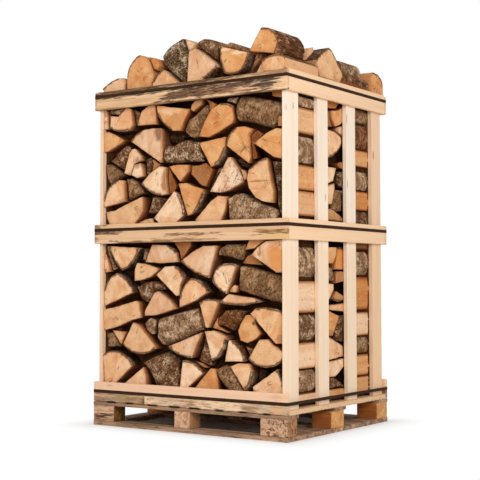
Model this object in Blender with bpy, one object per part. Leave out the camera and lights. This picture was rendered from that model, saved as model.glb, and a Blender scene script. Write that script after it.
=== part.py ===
"""A crate of split firewood: a slatted box on a nine-block pallet, packed with logs and heaped on top.

Metres, +Z up.  The long open side that shows the sawn log ends faces -Y.
X runs along the long side, Y from front to back, and the pallet stands on Z = 0.
The tables are in centimetres.  In them y is counted from the front face of the crate.
"""
import math

import bmesh
import bpy
import numpy as np
from mathutils import Vector

for old in list(bpy.data.objects):
    bpy.data.objects.remove(old, do_unlink=True)

# ---------------------------------------------------------------- driving dimensions (cm)
CM = 0.01
HALF_LENGTH = 60.0
DEPTH = 100.0
FIT = 0.03                      # hair gap between pieces that rest on each other
BOARD = 2.0                     # thickness of the rails
SLAT = 2.0                      # thickness of the upright slats
BASE_TOP = 2.2                  # top of the bottom boards
BLOCK_TOP = 10.4
STRINGER_TOP = 12.2
DECK_TOP = 14.45
SLAT_TOP = 173.8
RAILS = {"top": (164.8, 174.3), "middle": (94.5, 104.4)}
SIDE_RAILS = {"top": (164.9, 175.0), "middle": (94.6, 104.5)}
BASE_RAIL = (17.6, 22.4)
KICK_BOARD = (12.45, 17.55)
STRAP_WIDTH = 1.6
STRAP_THICKNESS = 0.1
STRAPS = {"base": 17.6, "middle": 101.6, "top": 171.9}
ROW_TOP = 173.0                 # level the packed rows reach behind the top rails
ROW_ENDS = (2.25, 33.9, 65.8, 97.75)   # y where the three rows begin and end
CORE_HALF = 54.4                # packed core, logs stand out from it
STACK_HALF = 55.92              # outermost log surface, just inside the slats
CORE_FRONT = 7.5
ARC_STEPS = 3

# ---------------------------------------------------------------- log tables (cm)
# One line a log, seen from the open side: how it lies, how far its face sits back, its outline.
# A point is (x, z) or (x, z, bow): the edge leaving it swells outward by bow, as bark does.
# "cut" logs show a sawn end.  "bark" logs lie crosswise and show their round side.
FRONT_LOGS = [
    ("cut", 0.3, [(-54.8, 16), (-36.4, 31.8, 4.2), (-55.9, 36.6)]),
    ("cut", 0.8, [(-50.8, 16), (-27.2, 16), (-27.8, 26.5), (-29.6, 30.8)]),
    ("bark", 0.6, [(-20.6, 17), (-8.6, 17), (-6.2, 28), (-8.4, 36), (-15.1, 39.3), (-22.6, 37),
                  (-29.8, 32.7)]),
    ("cut", 0.2, [(-5.6, 17.5), (9.4, 30, 1.5), (-3.4, 35.6)]),
    ("cut", 1.6, [(-2.1, 16.6), (17.8, 16.5), (16.8, 27.2), (15.8, 31.8), (12.6, 32)]),
    ("bark", 0.6, [(28.1, 16.5), (36.2, 18.6), (24.6, 33), (21.9, 34.6), (16.6, 31), (17.1, 27.6)]),
    ("cut", 0.3, [(34.4, 22, 1), (38, 32), (36.6, 35.3), (30.6, 35.4), (25.2, 33.6)]),
    ("cut", 0.8, [(39.6, 16.5), (54.2, 16.5), (55.9, 25, 0.5), (52.1, 33.2), (38.2, 24.4)]),
    ("bark", 4, [(38.8, 26.5), (43, 29), (44.2, 32.2), (40, 33.6)]),
    ("cut", 1.2, [(-44.4, 42.3), (-41.3, 48.6), (-50.3, 49.2)]),
    ("bark", 1.6, [(-54.8, 39.8), (-45.8, 40.8), (-45.4, 42), (-50.8, 48.6), (-54.5, 47.6)]),
    ("cut", 0.2, [(-43, 42, 3.8), (-20.9, 40.6), (-21.2, 42.4), (-31.8, 52.4), (-35.6, 53.6)]),
    ("bark", 0.2, [(-17.6, 42.2), (-12.1, 42.9), (8.2, 50.6), (5.8, 62), (-0.6, 61), (-20.3, 56.3),
                  (-20, 48)]),
    ("cut", 1.4, [(8.6, 52.2), (9.9, 52.6), (7.4, 59.6), (6.8, 58.8)]),
    ("bark", 1.8, [(-26.3, 47.5), (-22.5, 48), (-22.8, 55.4), (-25.6, 56.2), (-30.2, 53),
                  (-29.3, 50.4)]),
    ("cut", 0.2, [(-12.8, 42, 1.3), (2.2, 36.8), (5.4, 44), (8.2, 49.6)]),
    ("bark", 3, [(3, 35.6), (12, 33), (13.3, 36.5), (11.8, 43), (9, 47.6), (6.4, 43.5)]),
    ("cut", 2.4, [(3.6, 35), (8, 32.4), (10.8, 32.2), (7, 34.3)]),
    ("cut", 0.3, [(14.2, 35.8, 1.8), (23.2, 46.8), (22.4, 48.2), (15.4, 50.7), (10, 50.2)]),
    ("cut", 0.3, [(22.4, 35.8), (34.2, 36.4, 1.3), (26.6, 46.2), (24.8, 46.2)]),
    ("bark", 3, [(34.8, 39), (36.5, 39.2), (38.2, 42.2), (36.4, 42.4), (33, 43.3)]),
    ("cut", 0.3, [(35.9, 37.4, 3.9), (55.9, 38), (55.9, 41.5), (49.6, 45), (47.1, 47.2), (42.3, 47)]),
    ("cut", 0.4, [(-55.9, 49), (-46.8, 51.2), (-36.8, 54.9), (-30.8, 56.2), (-32.2, 64),
                  (-33.8, 64.8), (-46.8, 61.6), (-55.9, 60)]),
    ("cut", 0.2, [(-55.6, 61.8), (-35, 69.4, 1.8), (-46.8, 79, 1.8), (-55.8, 70)]),
    ("bark", 1.6, [(-30.8, 64.2), (-27.8, 63.4), (-26, 65), (-22.6, 69.7), (-15.6, 70.9),
                  (-19.1, 73.8), (-23.6, 75), (-30.2, 74.7), (-34.2, 72.2), (-32, 68)]),
    ("cut", 0.2, [(-27.8, 57.2), (-20.6, 57.6), (-7.4, 61.2), (-11.6, 65.4), (-19.1, 69.8),
                  (-21.8, 68.8), (-25.4, 63.2), (-27.6, 60)]),
    ("cut", 0.2, [(-8.1, 67.4), (-6.2, 67.7), (-5.5, 73), (-3.5, 77.2, 0.8), (-8.6, 82.4),
                  (-14.6, 82.2), (-20.2, 78)]),
    ("cut", 0.8, [(-35, 75), (-30.3, 75.5), (-24.6, 77.2), (-19.8, 80.5), (-20.8, 81.7),
                  (-28.3, 83.8), (-33.3, 84.2), (-34.8, 81)]),
    ("cut", 0.6, [(-52.5, 93.3, 1.2), (-43.8, 80.4, 2), (-31.9, 91.9)]),
    ("cut", 0.8, [(-55.1, 79.4), (-51.8, 79.8), (-53, 84), (-55, 88.8), (-55.9, 89.4), (-55.9, 82)]),
    ("bark", 2, [(-51, 80.4), (-47.8, 81.4), (-51.3, 86), (-53.3, 93.4), (-55.6, 93.6), (-54.4, 89.2)]),
    ("bark", 3, [(-32, 85.8), (-28.5, 85), (-26.8, 89), (-25.4, 91.8), (-31.2, 91.8)]),
    ("cut", 0.2, [(-5.3, 61.8), (4.4, 65.1), (12.6, 69.9, 1.6), (1.4, 76.3, 1.6), (-5.4, 66)]),
    ("cut", 0.6, [(-27.6, 84.6), (-17.6, 83.9), (-6.9, 84.5), (-8.1, 89.5, 0.5), (-13.6, 93),
                  (-23.4, 93.4)]),
    ("cut", 1.2, [(-5.2, 85.8), (0.7, 92), (1.2, 95), (-10.2, 95), (-6.2, 90)]),
    ("cut", 0, [(-4.6, 84.6, 1), (12.3, 76.4), (17.7, 92.2), (9.4, 92.2), (3.4, 89.6)]),
    ("cut", 0.3, [(22.9, 68.7), (25.1, 73), (28.9, 82.8, 1.2), (18.4, 82, 1.1), (15, 74.5, 0.6)]),
    ("cut", 0.5, [(10.8, 52), (12.5, 52), (18.6, 65, 1.4), (6.6, 64.4)]),
    ("bark", 1.6, [(17.8, 53.4), (25.6, 50.4), (29.4, 53.6), (30.6, 58), (33.4, 60), (30.6, 60.8),
                  (25.6, 61.3), (20.1, 60.6), (17.3, 57.5)]),
    ("cut", 2.2, [(13.6, 52), (23, 49.8), (17.2, 52.6), (16.4, 57)]),
    ("cut", 0.5, [(18.8, 64.4, 1.6), (43.2, 65), (38.1, 66.8), (28.6, 67.9), (24.6, 68.6),
                  (22.3, 66.9)]),
    ("cut", 1, [(25, 69.7), (28.5, 69.4), (29.4, 72.4), (27.6, 73), (25.6, 71.2)]),
    ("bark", 0.2, [(29.6, 69.9), (39.6, 67.2), (47.6, 65.2), (55.9, 63.9), (55.9, 76.8), (49.6, 78.5),
                  (36.6, 81.8), (31.6, 82.4), (30.9, 76)]),
    ("cut", 2, [(32.1, 83.5), (37.6, 82.9), (43.6, 82.5), (37.2, 87.9), (34.6, 86.8)]),
    ("cut", 0.2, [(38.1, 87.5), (52.1, 78.9), (55.9, 79), (55.9, 94.4), (46.6, 93.8), (41.6, 91)]),
    ("cut", 1.6, [(33.6, 90), (38.9, 90.6), (45.2, 94.8), (36, 94.8)]),
    ("bark", 1.4, [(17.4, 87.5), (24.6, 86.2), (30.9, 84.6), (32, 86.4), (34, 93), (21.6, 93),
                  (18.6, 91.5)]),
    ("cut", 1, [(31, 46.4), (35.1, 45.2), (40.1, 47.3), (42.8, 50), (39.6, 54), (39.1, 57.3),
                  (36.6, 58.7), (33.9, 58.5), (31.2, 54.5), (29.6, 51)]),
    ("cut", 0.3, [(51.4, 45.4), (55.9, 45.4), (55.9, 60, 1.2), (40.6, 62), (37.4, 59.3)]),
    ("cut", 0.3, [(-52.3, 104), (-48.8, 101), (-38.8, 101), (-32.5, 106.8), (-29.4, 111),
                  (-29.2, 116), (-30, 118.2), (-40.8, 114.7), (-48.8, 111.8), (-55.2, 111.2),
                  (-54.2, 108)]),
    ("cut", 0.1, [(-55.6, 113.8), (-41.8, 116.1), (-41.9, 127.2), (-45.8, 127.6, 2.2), (-55.7, 117)]),
    ("bark", 1.2, [(-41.2, 116.7), (-30.4, 120.1), (-30.7, 121.6), (-35.8, 126.4), (-38.3, 128.4),
                  (-41.1, 128.2)]),
    ("bark", 2.6, [(-27.6, 109.6), (-23.1, 109.2), (-14.8, 116.7), (-19.6, 117.7), (-26.1, 118.5)]),
    ("cut", 1.2, [(-33.8, 103), (-22.4, 103), (-23.6, 106.9), (-26.8, 106.7), (-31.8, 105.5)]),
    ("cut", 0.1, [(-21.8, 107), (-16.6, 103), (-8.6, 103.5), (-2.6, 108, 0.8), (-6.4, 118.4),
                  (-8.8, 120)]),
    ("cut", 0.2, [(-30.7, 124.7, 1.3), (-17.6, 118.4), (-13.7, 118.9), (-14.8, 127), (-14.5, 132.6),
                  (-18.6, 133.2), (-25.4, 129.6)]),
    ("cut", 2.2, [(-13.3, 119.2), (-11, 119.6), (-9, 122.5), (-12.9, 131.4), (-13.9, 131.8),
                  (-14, 126)]),
    ("cut", 0.9, [(-5.8, 124.8), (-0.7, 129.6), (-0.1, 133), (-7.6, 133.4), (-12.8, 132.8)]),
    ("cut", 0.3, [(-0.6, 107.5), (2.9, 108.5, 0.8), (9, 118.5), (8.9, 120.3), (2.4, 122.3),
                  (-1.2, 123.9), (-6.1, 123.8)]),
    ("cut", 2.2, [(0.2, 128.4), (7, 122.4), (9.7, 121.7), (13.7, 130), (9.4, 133.5), (4.4, 132.4),
                  (0.8, 132.7)]),
    ("bark", 4, [(10.4, 120.7), (13.8, 119.7), (20.2, 130.4), (18.4, 131.6), (15.2, 130.4)]),
    ("bark", 0.2, [(-16.1, 134.9), (-8.6, 134.3), (0.4, 134.5), (7.7, 134.3), (8.4, 135.7),
                  (5.7, 141.5), (5.9, 144.4), (1.4, 144.9), (-1.6, 146.3), (-6.6, 145.6),
                  (-11.1, 143.4), (-15.6, 143.9), (-16.1, 140)]),
    ("cut", 0.1, [(13.7, 118.8), (19.6, 118.1), (24.6, 119), (32, 122.2), (32.8, 124.5), (29.8, 130),
                  (25.8, 135.2), (24.4, 135)]),
    ("cut", 0.9, [(33.5, 123.8), (34.6, 126), (33.4, 128), (31.6, 128.9)]),
    ("bark", 2.6, [(27.6, 133.8), (30.8, 130.4), (34.6, 129.2), (36.2, 130.9), (30.6, 134.7)]),
    ("cut", 0.2, [(50.4, 111.9), (50.5, 118), (49.1, 122), (47.2, 131.8), (46.3, 133.7, 0.8),
                  (36.3, 128.9), (34.8, 124.5), (36.1, 119.7), (40.3, 114.8), (45.1, 112.7)]),
    ("bark", 1.6, [(53.4, 106.4), (55.9, 106.4), (55.9, 131.3), (49.8, 132), (48.3, 131.3),
                  (50.2, 122.5), (51.3, 118), (51.4, 111.4)]),
    ("bark", 0.4, [(24, 102.5), (51.9, 102.5), (52.4, 107), (51.2, 109), (43.6, 111.7), (35.6, 115.8),
                  (30.6, 117.8), (26.4, 117.6), (24, 115.4)]),
    ("cut", 0.3, [(4.4, 105.2), (7.4, 102.5), (18.4, 102.5), (22, 109.5), (23.5, 116.1),
                  (18.1, 116.6), (14.1, 114.3)]),
    ("bark", 1, [(-55.2, 131), (-54.4, 126.2), (-52.8, 124.6), (-47.8, 128.2), (-43.2, 129.8),
                  (-42.8, 130.5), (-52.8, 136.8), (-55, 136.6)]),
    ("bark", 0.8, [(-51.4, 137.6), (-44.1, 132.9), (-42.8, 133), (-40.6, 138), (-39, 144.3),
                  (-40.6, 146), (-45.1, 144.6), (-50.8, 140.3), (-52, 138.7)]),
    ("cut", 0.3, [(-55.9, 142.6), (-52.8, 143.3), (-44.8, 146.6), (-42, 148.1), (-46.8, 150.7),
                  (-52.8, 153.4), (-55.9, 153.4)]),
    ("cut", 0.2, [(-17.9, 135.1), (-16.7, 138), (-17, 150.4), (-17.8, 152.6), (-22.6, 153),
                  (-29.8, 152.6, 0.8), (-37.8, 147.4)]),
    ("cut", 0.8, [(-42.4, 131), (-38.1, 129.8), (-35.7, 135.6), (-31, 137.1), (-31.2, 139.5),
                  (-35.4, 143.4), (-37.3, 143.3), (-39.2, 141)]),
    ("cut", 0.3, [(-37.1, 129.8), (-33.8, 128.1), (-29.5, 128.9), (-29.7, 132.5), (-31.2, 135.6),
                  (-34.8, 134.9)]),
    ("bark", 2.2, [(-28.8, 130), (-26.5, 129.8), (-23.9, 134.5), (-25.6, 138.4), (-29.6, 137.7),
                  (-29, 133)]),
    ("cut", 1.8, [(-24.2, 131.4), (-19.4, 134.3), (-24.2, 137.4), (-23.3, 134.5)]),
    ("cut", 0.3, [(-51.7, 155.1, 1.3), (-38.8, 153.3), (-36.3, 155.9), (-37.9, 164.4), (-40.8, 165.4),
                  (-46.3, 160.9), (-51.6, 161.7)]),
    ("bark", 1.6, [(-53.1, 162.8), (-46.8, 162.1), (-42.6, 165.5), (-53.1, 165.5)]),
    ("cut", 0.3, [(-55.9, 154.9), (-53, 154.9), (-54.2, 164.6), (-55.9, 165.4)]),
    ("bark", 2, [(-35.6, 156), (-33.9, 155.6), (-32.6, 162), (-37, 164.3)]),
    ("cut", 0.4, [(-33.3, 155.3), (-21.1, 155), (-21.2, 160), (-22.2, 165.4), (-26.8, 164.8),
                  (-31.1, 162.2)]),
    ("cut", 0.2, [(-20.1, 164.4), (-19.7, 160, 1), (-10.6, 150.9), (-5.5, 150.5), (-3.4, 155),
                  (0.4, 161), (-8.6, 162.4)]),
    ("bark", 0.8, [(-4.1, 151.5), (0, 147.4), (1.4, 146.2), (5.4, 146.7), (8.8, 152.5), (11.6, 157.5),
                  (11.4, 162.2), (8.1, 161.8), (2.6, 158.2), (-2, 156.1)]),
    ("cut", 0.8, [(1.2, 160.6), (2.6, 159.5), (7.6, 162.5), (8.7, 165.4), (3.9, 164.8), (1.6, 162.8)]),
    ("cut", 1.4, [(12.4, 159.2), (16.7, 161.7), (13.9, 163.6), (10, 165.2), (12.3, 162.3)]),
    ("cut", 0.2, [(6.6, 146.7), (12.4, 145.9), (18.4, 148.1), (26.3, 151.8), (27.4, 154),
                  (26.4, 160.2, 0.8), (19.6, 161.9), (14.4, 159.7), (10.2, 154)]),
    ("bark", 1.8, [(22.3, 163), (27.4, 161.3), (28.6, 164.6), (23.6, 164.8)]),
    ("bark", 0.2, [(28.2, 152.7), (35.6, 151.5), (42.6, 149.3), (48.9, 147.3), (52.3, 149.4),
                  (55.9, 155), (55.9, 159.6), (47.6, 161.6), (37.6, 164.2), (30.6, 165.4),
                  (28.9, 159)]),
    ("cut", 1.4, [(49.4, 163), (55.9, 161.4), (55.9, 165.4), (48.9, 165.4)]),
    ("cut", 0.8, [(52.8, 148.2), (55.9, 148.2), (55.9, 153), (53.3, 153)]),
    ("cut", 0.2, [(39.8, 140.8), (45.6, 137.2), (50.6, 133.8), (55.9, 132.3), (55.9, 146.7),
                  (52.3, 147.3), (46.6, 145.2)]),
    ("cut", 0.3, [(36.3, 131.6), (37.3, 134.5), (36.6, 144.8), (38.8, 148), (33.6, 149.6),
                  (28.9, 149.5, 1.2), (22.9, 141.2)]),
    ("cut", 1.6, [(37.8, 133.4), (40.3, 134.1), (38.8, 140.6), (44, 145.2), (40.6, 147.2),
                  (37.2, 145)]),
    ("cut", 0.3, [(14.1, 131), (16.8, 132, 0.9), (22.2, 140), (22.3, 145.4), (13.4, 144.3),
                  (6.6, 143.3)]),
    ("bark", 6, [(-16, 145.5), (-11.3, 144.8), (-7.6, 146.8), (-2, 147.7), (-4.7, 149.8),
                  (-11.6, 149.4), (-16.3, 151)]),
]

# Logs seen along their length at the right hand side of the front row: bottom, top, swell of the side.
SIDE_FRONT_LOGS = [(16.3, 20.6, 0.2), (21.1, 31, 1.5), (33.6, 44.6, 0.3), (46.2, 58, 1.4), (60.6, 74.4, 0.3),
                   (76, 91.7, 1.6), (107.4, 118, 0.4), (119.5, 131, 0.3), (131.8, 145.2, 1.5),
                   (147.2, 159, 0.3), (159.6, 164.6, 0.6)]
# The same at the right hand side of the back row.
SIDE_BACK_LOGS = [(16.5, 24, 0.3), (26.8, 36, 0.4), (37.6, 45, 1.2), (47.2, 57.6, 0.3), (61, 76.6, 0.8),
                  (78, 90.4, 1.4), (92, 99, 0.5), (104.5, 111, 1.2), (112.6, 122, 0.4), (122.6, 131.6, 1.3),
                  (136, 143.4, 0.4), (144.2, 157.4, 1.0), (158.6, 165.6, 1.2)]

# Sawn ends of the crosswise middle row, (y, z, bow), seen from the right.
MIDDLE_LOGS = [
    [(38, 16), (62, 16), (60, 20.4), (38, 20.4)],
    [(38, 21), (62, 21), (58, 24), (52, 26.4), (38, 26)],
    [(38, 27), (53, 26.8), (62, 31.4), (62, 35.4), (38, 33.8)],
    [(38, 34.8), (62, 36.6), (62, 41.6), (47, 46.8), (38, 46.4)],
    [(54.8, 44.8), (62, 43.6), (62, 57.6), (58.6, 57.4), (53.4, 50.4)],
    [(38, 47.8), (50.8, 47.4), (57, 57.2), (46.8, 60), (38, 60)],
    [(38, 61.3), (62, 59.2), (62, 63.6), (46.8, 62.8), (38, 62.8)],
    [(49.6, 65.8, 0.8), (62, 64.8), (62, 67), (53.6, 69.8)],
    [(38, 64), (46.6, 64.8), (51.6, 70.6), (51.4, 73.4), (38, 74)],
    [(52.8, 73.8), (62, 75), (62, 79.8), (52.8, 79.8)],
    [(38, 75), (51.8, 75), (50.4, 81.6), (38, 83)],
    [(52.8, 80.8), (62, 80.8), (62, 91, 1.0), (56, 91.6)],
    [(38, 84), (50.6, 83.8), (53.4, 88.2), (53.4, 92), (38, 91.6)],
    [(38, 105.6), (62, 105.6), (57, 108.6), (48.8, 111.4), (38, 110)],
    [(51, 111.6), (55.8, 110), (62, 110.6), (62, 121.4), (53.8, 121.6)],
    [(38, 112.6), (49.8, 113.8), (52.6, 122), (52.4, 124.4), (38, 120.6)],
    [(54.4, 124.6), (62, 122.6), (62, 130.6), (57, 131)],
    [(38, 121.8), (52.2, 125.6), (56, 132.6), (38, 132.4)],
    [(54, 134.2), (56.8, 132.8), (62, 132.2), (62, 136), (57, 135.6)],
    [(38, 135.8, 2.4), (60.4, 144.6), (60.4, 148.8), (53.6, 150.8), (38, 151.6)],
    [(54, 151.8), (61.4, 149.4), (61.4, 154.8), (56.4, 153.4)],
    [(48.8, 157.2), (53, 153.4), (57.6, 154.8), (61.6, 157), (61.6, 164.8), (56, 162), (48.6, 161)],
    [(38, 152.6), (50.8, 153), (47.8, 157), (47.6, 160.6), (38, 160)],
    [(38, 161.4), (54, 162.8), (57.6, 166), (38, 166)],
]

# Heap above the top rails.  Logs that run front to back: face y, length, turn in degrees, outline (x, z).
HEAP_LOGS = [
    ("cut", 2.6, 31, 0, [(-55.3, 173.5), (-42.3, 173.5), (-41.7, 180.7), (-46.5, 181.3, 0.6), (-57.5, 176.8)]),
    ("cut", 2.4, 32, 0, [(-40, 173.5), (-25.2, 173.5), (-22.6, 180), (-24, 183.6), (-25.4, 187.2),
                         (-27.2, 189.8), (-31.8, 191.8), (-35.2, 189.8, 1.2), (-40, 181.5)]),
    ("cut", 3.4, 26, 0, [(-23, 184), (-21, 182.8), (-19.2, 184.7), (-19.8, 187), (-21, 188.8),
                         (-26, 190.2), (-24.6, 187.6)]),
    ("cut", 2.8, 30, 0, [(-24, 173.5), (-7.2, 173.5), (-6.9, 175.3), (-16.6, 182.7, 0.9), (-22.8, 177)]),
    ("bark", 2.6, 20, 0, [(-5.5, 173.5), (-1.3, 173.5), (-1.1, 190.2), (-3.3, 197), (-4.8, 196.9),
                          (-4.5, 195.2), (-6.3, 194.1), (-8.3, 194.8), (-10.4, 192.5), (-13.8, 193.5),
                          (-16.6, 191.9), (-19.6, 189.4), (-18.3, 185.9), (-15, 182.5), (-5.4, 175.6)]),
    ("cut", 2.3, 32, 0, [(-0.6, 173.5), (7.5, 173.5), (9.6, 175.4), (17.5, 180.4), (17.6, 181.5),
                         (10, 187.2), (3.2, 191.5), (0.4, 190)]),
    ("cut", 3.6, 27, 0, [(-0.7, 190.9), (0.5, 190.7), (2.6, 191.9), (3.5, 193.7), (3.1, 194.2),
                         (-2.8, 196.8)]),
    ("bark", 3.6, 16, 0, [(4.2, 192.7), (13.6, 185.6), (16.4, 184.2), (17.6, 186), (18, 191), (15, 194),
                          (10.2, 195.6), (8, 195.8), (5.6, 195)]),
    ("cut", 2.4, 28, 0, [(19.4, 190.3, 1.0), (22, 176.6, 1.0), (31, 176.2, 1.3), (36.4, 185.2)]),
    ("bark", 5.0, 14, 0, [(20.6, 190.1), (32.6, 186.5), (32.2, 188), (31.2, 189.1), (27.9, 190.5),
                          (23.6, 192.3), (20.4, 191.2)]),
    ("cut", 2.5, 25, 0, [(36.9, 186), (40, 185.2), (45, 184.5), (50, 183.3), (51.8, 183, 0.3),
                         (53.2, 187.2, 0.5), (52, 191.8, 0.9), (46.4, 196.1), (43.4, 196.4)]),
    ("bark", 5.0, 26, 0, [(33.6, 173.5), (39.2, 173.6), (40.2, 176.6), (43.4, 180), (45.2, 181.8), (43, 183),
                          (40, 183.8), (37.6, 184), (36.4, 181), (33.4, 176)]),
    ("cut", 0.4, 30.4, 0, [(47, 174.4), (57.9, 174.4), (57.9, 175.1), (58.9, 175.1), (58.8, 180),
                           (55.6, 182), (51, 182), (47.8, 181.2), (45.5, 180), (45.7, 177.4)]),
    ("cut", 2.6, 24, 0, [(40, 173.5), (46.4, 173.5), (46.2, 175.5), (44, 179.3)]),
    ("cut", 64, 20.5, 0, [(44.5, 181.6), (48, 179.4), (52.6, 183.4, 0.6), (52.2, 188, 0.6), (47.5, 190.4, 0.8),
                          (42.6, 187.6)]),
    ("cut", 61.5, 23.5, 0, [(49.4, 175.6), (55.5, 175.6), (57.4, 177.4, 0.4), (57, 180.2, 0.6), (53.2, 182),
                            (50.4, 179.6)]),
]
# Heap logs that lie crosswise: face x, length, outline (y, z) with the sawn end to the right.
HEAP_CROSS_LOGS = [
    (56.4, 27, [(36.6, 176.4), (57, 176.4), (60.2, 180.6), (57, 184.4), (50, 191), (46.4, 192.6), (43, 191.4),
                (32.9, 184), (34.7, 179.4)]),
    (58.6, 28, [(86, 175.4), (99.4, 175.4), (99.3, 180.8, 0.8), (95.8, 184.8), (91, 186.2), (87.5, 186.2),
                (85.2, 183), (85.2, 179)]),
    (50, 30, [(34, 185.3), (41.5, 190.8), (40.5, 192.6), (37, 191.6), (34.2, 188.4)]),
]
# Outlines (x, z, bow) of the logs that carry the heap on over the middle row and the back row.
MIDDLE_FILL = [
    [(-54.6, 171), (-42.6, 171), (-42.2, 176.5), (-47, 182, 0.8), (-54.8, 178)],
    [(-42, 171), (-29.5, 171), (-29.2, 177, 4.6), (-41.8, 178)],
    [(-29, 171), (-17.4, 171), (-17.6, 185.5), (-21, 187.2), (-28.6, 179.4)],
    [(-16.8, 171), (-4.6, 171), (-4.2, 179.5, 3.2), (-16.6, 182)],
    [(-3.6, 171), (9.2, 171), (9.4, 176), (4, 189), (1, 189.4), (-3.4, 181)],
    [(9.8, 171), (21.8, 171), (22, 180.2, 2.4), (10, 181.4)],
]
BACK_FILL = [
    [(-54.8, 171), (-43.4, 171), (-43.2, 175.4), (-50.5, 179.6, 0.6), (-54.8, 178.4)],
    [(-42.8, 171), (-31.4, 171), (-31.2, 174.5, 4.6), (-42.6, 175.5)],
    [(-30.8, 171), (-19.4, 171), (-19.2, 180.4), (-24.2, 186.2), (-30.6, 181)],
    [(-18.8, 171), (-6.7, 171), (-6.5, 178.3, 3.4), (-18.6, 177.3)],
    [(-6.1, 171), (5.9, 171), (6.1, 181.4), (1.5, 187.4, 0.5), (-5.9, 180.2)],
    [(6.5, 171), (18, 171), (18.2, 178.6, 2.8), (6.7, 180.4)],
    [(18.6, 171), (30, 171), (30.2, 175.4), (25.2, 183.2), (19.2, 179.6)],
]

DECK_BOARDS = [(-60, -51.5), (-46, -39.5), (-34, -25.5), (-19, -11), (-5, 4), (9, 18.5), (23, 32.5),
               (36.5, 46), (50, 60)]
BLOCKS = {
    "front_left": (-60, -46, 0, 9.2, "grey"), "front_middle": (-6.5, 3.0, 0, 9, "chip"),
    "front_right": (44.8, 60, 0, 8.6, "chip"), "middle_left": (-60, -49, 44, 56, "solid"),
    "middle_middle": (-6.5, 3.0, 45, 55, "chip"), "middle_right": (49, 60, 40.2, 53, "solid"),
    "back_left": (-60, -46, 91.2, 100, "chip"), "back_middle": (-6.5, 3.0, 91, 100, "chip"),
    "back_right": (48, 60, 88, 99.6, "solid"),
}
# Slats of each short side: y of the near edge at the foot, the same at the head, width.
SLATS_RIGHT = [(2.03, 2.03, 11.1), (32, 30.9, 9.9), (60.6, 59.4, 9.6), (87.7, 86.6, 10)]
SLATS_LEFT = [(2.03, 2.03, 10.4), (30, 30, 10), (59, 59.4, 10), (87.6, 87.6, 10)]

COLOURS = {
    "pine": (0.90, 0.74, 0.54), "cream": (0.92, 0.79, 0.62), "pink": (0.90, 0.68, 0.52),
    "weathered": (0.45, 0.33, 0.22), "grey": (0.42, 0.32, 0.24), "chip": (0.62, 0.46, 0.32),
    "solid": (0.60, 0.36, 0.17), "strap": (0.015, 0.013, 0.012), "log_end": (0.78, 0.50, 0.28),
    "bark": (0.20, 0.15, 0.11),
}
SMOOTHNESS = {"strap": 0.35, "bark": 0.95, "log_end": 0.8}
materials = {}


def material(kind):
    """Return the plain material of one kind of wood or band, made on first use."""
    if kind not in materials:
        made = bpy.data.materials.new(kind)
        made.use_nodes = True
        shader = made.node_tree.nodes["Principled BSDF"]
        shader.inputs["Base Color"].default_value = (*COLOURS[kind], 1.0)
        shader.inputs["Roughness"].default_value = SMOOTHNESS.get(kind, 0.7)
        shader.inputs["Metallic"].default_value = 0.0
        materials[kind] = made
    return materials[kind]


def place(x, y, z):
    """Turn crate centimetres, y counted from the front face, into metres about the middle."""
    return Vector((x * CM, (y - DEPTH / 2) * CM, z * CM))


def keep(name, kind, shape):
    """Store a finished shape as a named object with its material."""
    bmesh.ops.recalc_face_normals(shape, faces=shape.faces)
    if shape.calc_volume(signed=True) < 0:
        bmesh.ops.reverse_faces(shape, faces=shape.faces)
    mesh = bpy.data.meshes.new(name)
    shape.to_mesh(mesh)
    shape.free()
    mesh.materials.append(material(kind))
    made = bpy.data.objects.new(name, mesh)
    bpy.context.scene.collection.objects.link(made)
    return made


def stack_rings(rings):
    """Close a run of point rings into one body: first cap, walls between rings, last cap."""
    shape = bmesh.new()
    loops = [[shape.verts.new(point) for point in ring] for ring in rings]
    shape.faces.new(loops[0])
    for near, far in zip(loops, loops[1:]):
        for i in range(len(near)):
            j = (i + 1) % len(near)
            shape.faces.new((near[i], near[j], far[j], far[i]))
    shape.faces.new(list(reversed(loops[-1])))
    return shape


def box(name, kind, x_span, y_span, z_span, edge=0.0):
    """A sawn board or block, its long edges eased by a small chamfer when edge is given."""
    corners = [(x_span[i], y_span[j]) for i, j in ((0, 0), (1, 0), (1, 1), (0, 1))]
    made = keep(name, kind, stack_rings([[place(x, y, z) for x, y in corners] for z in z_span]))
    if edge:
        shape = bmesh.new()
        shape.from_mesh(made.data)
        bmesh.ops.bevel(shape, geom=list(shape.edges), offset=edge * CM, segments=1, affect="EDGES",
                        clamp_overlap=True)
        bmesh.ops.recalc_face_normals(shape, faces=shape.faces)
        shape.to_mesh(made.data)
        shape.free()
    return made


def outline(points, steps=ARC_STEPS):
    """Walk an outline of corner points, replacing each bowed edge by a short circular arc."""
    corners = [Vector(point[:2]) for point in points]
    area = sum(a.x * b.y - b.x * a.y for a, b in zip(corners, corners[1:] + corners[:1]))
    side = 1.0 if area > 0 else -1.0
    ring = []
    for i, point in enumerate(points):
        start, end = corners[i], corners[(i + 1) % len(corners)]
        ring.append(start)
        bow = point[2] if len(point) > 2 else 0.0
        if not bow:
            continue
        chord = end - start
        along = chord.normalized()
        out = Vector((along.y, -along.x)) * side
        radius = (chord.length ** 2 / 4 + bow ** 2) / (2 * bow)
        half = math.asin(chord.length / (2 * radius))
        centre = (start + end) / 2 + out * (bow - radius)
        for k in range(1, steps):
            angle = half * (2 * k / steps - 1)
            ring.append(centre + radius * (out * math.cos(angle) + along * math.sin(angle)))
    return ring if side > 0 else list(reversed(ring))


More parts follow.
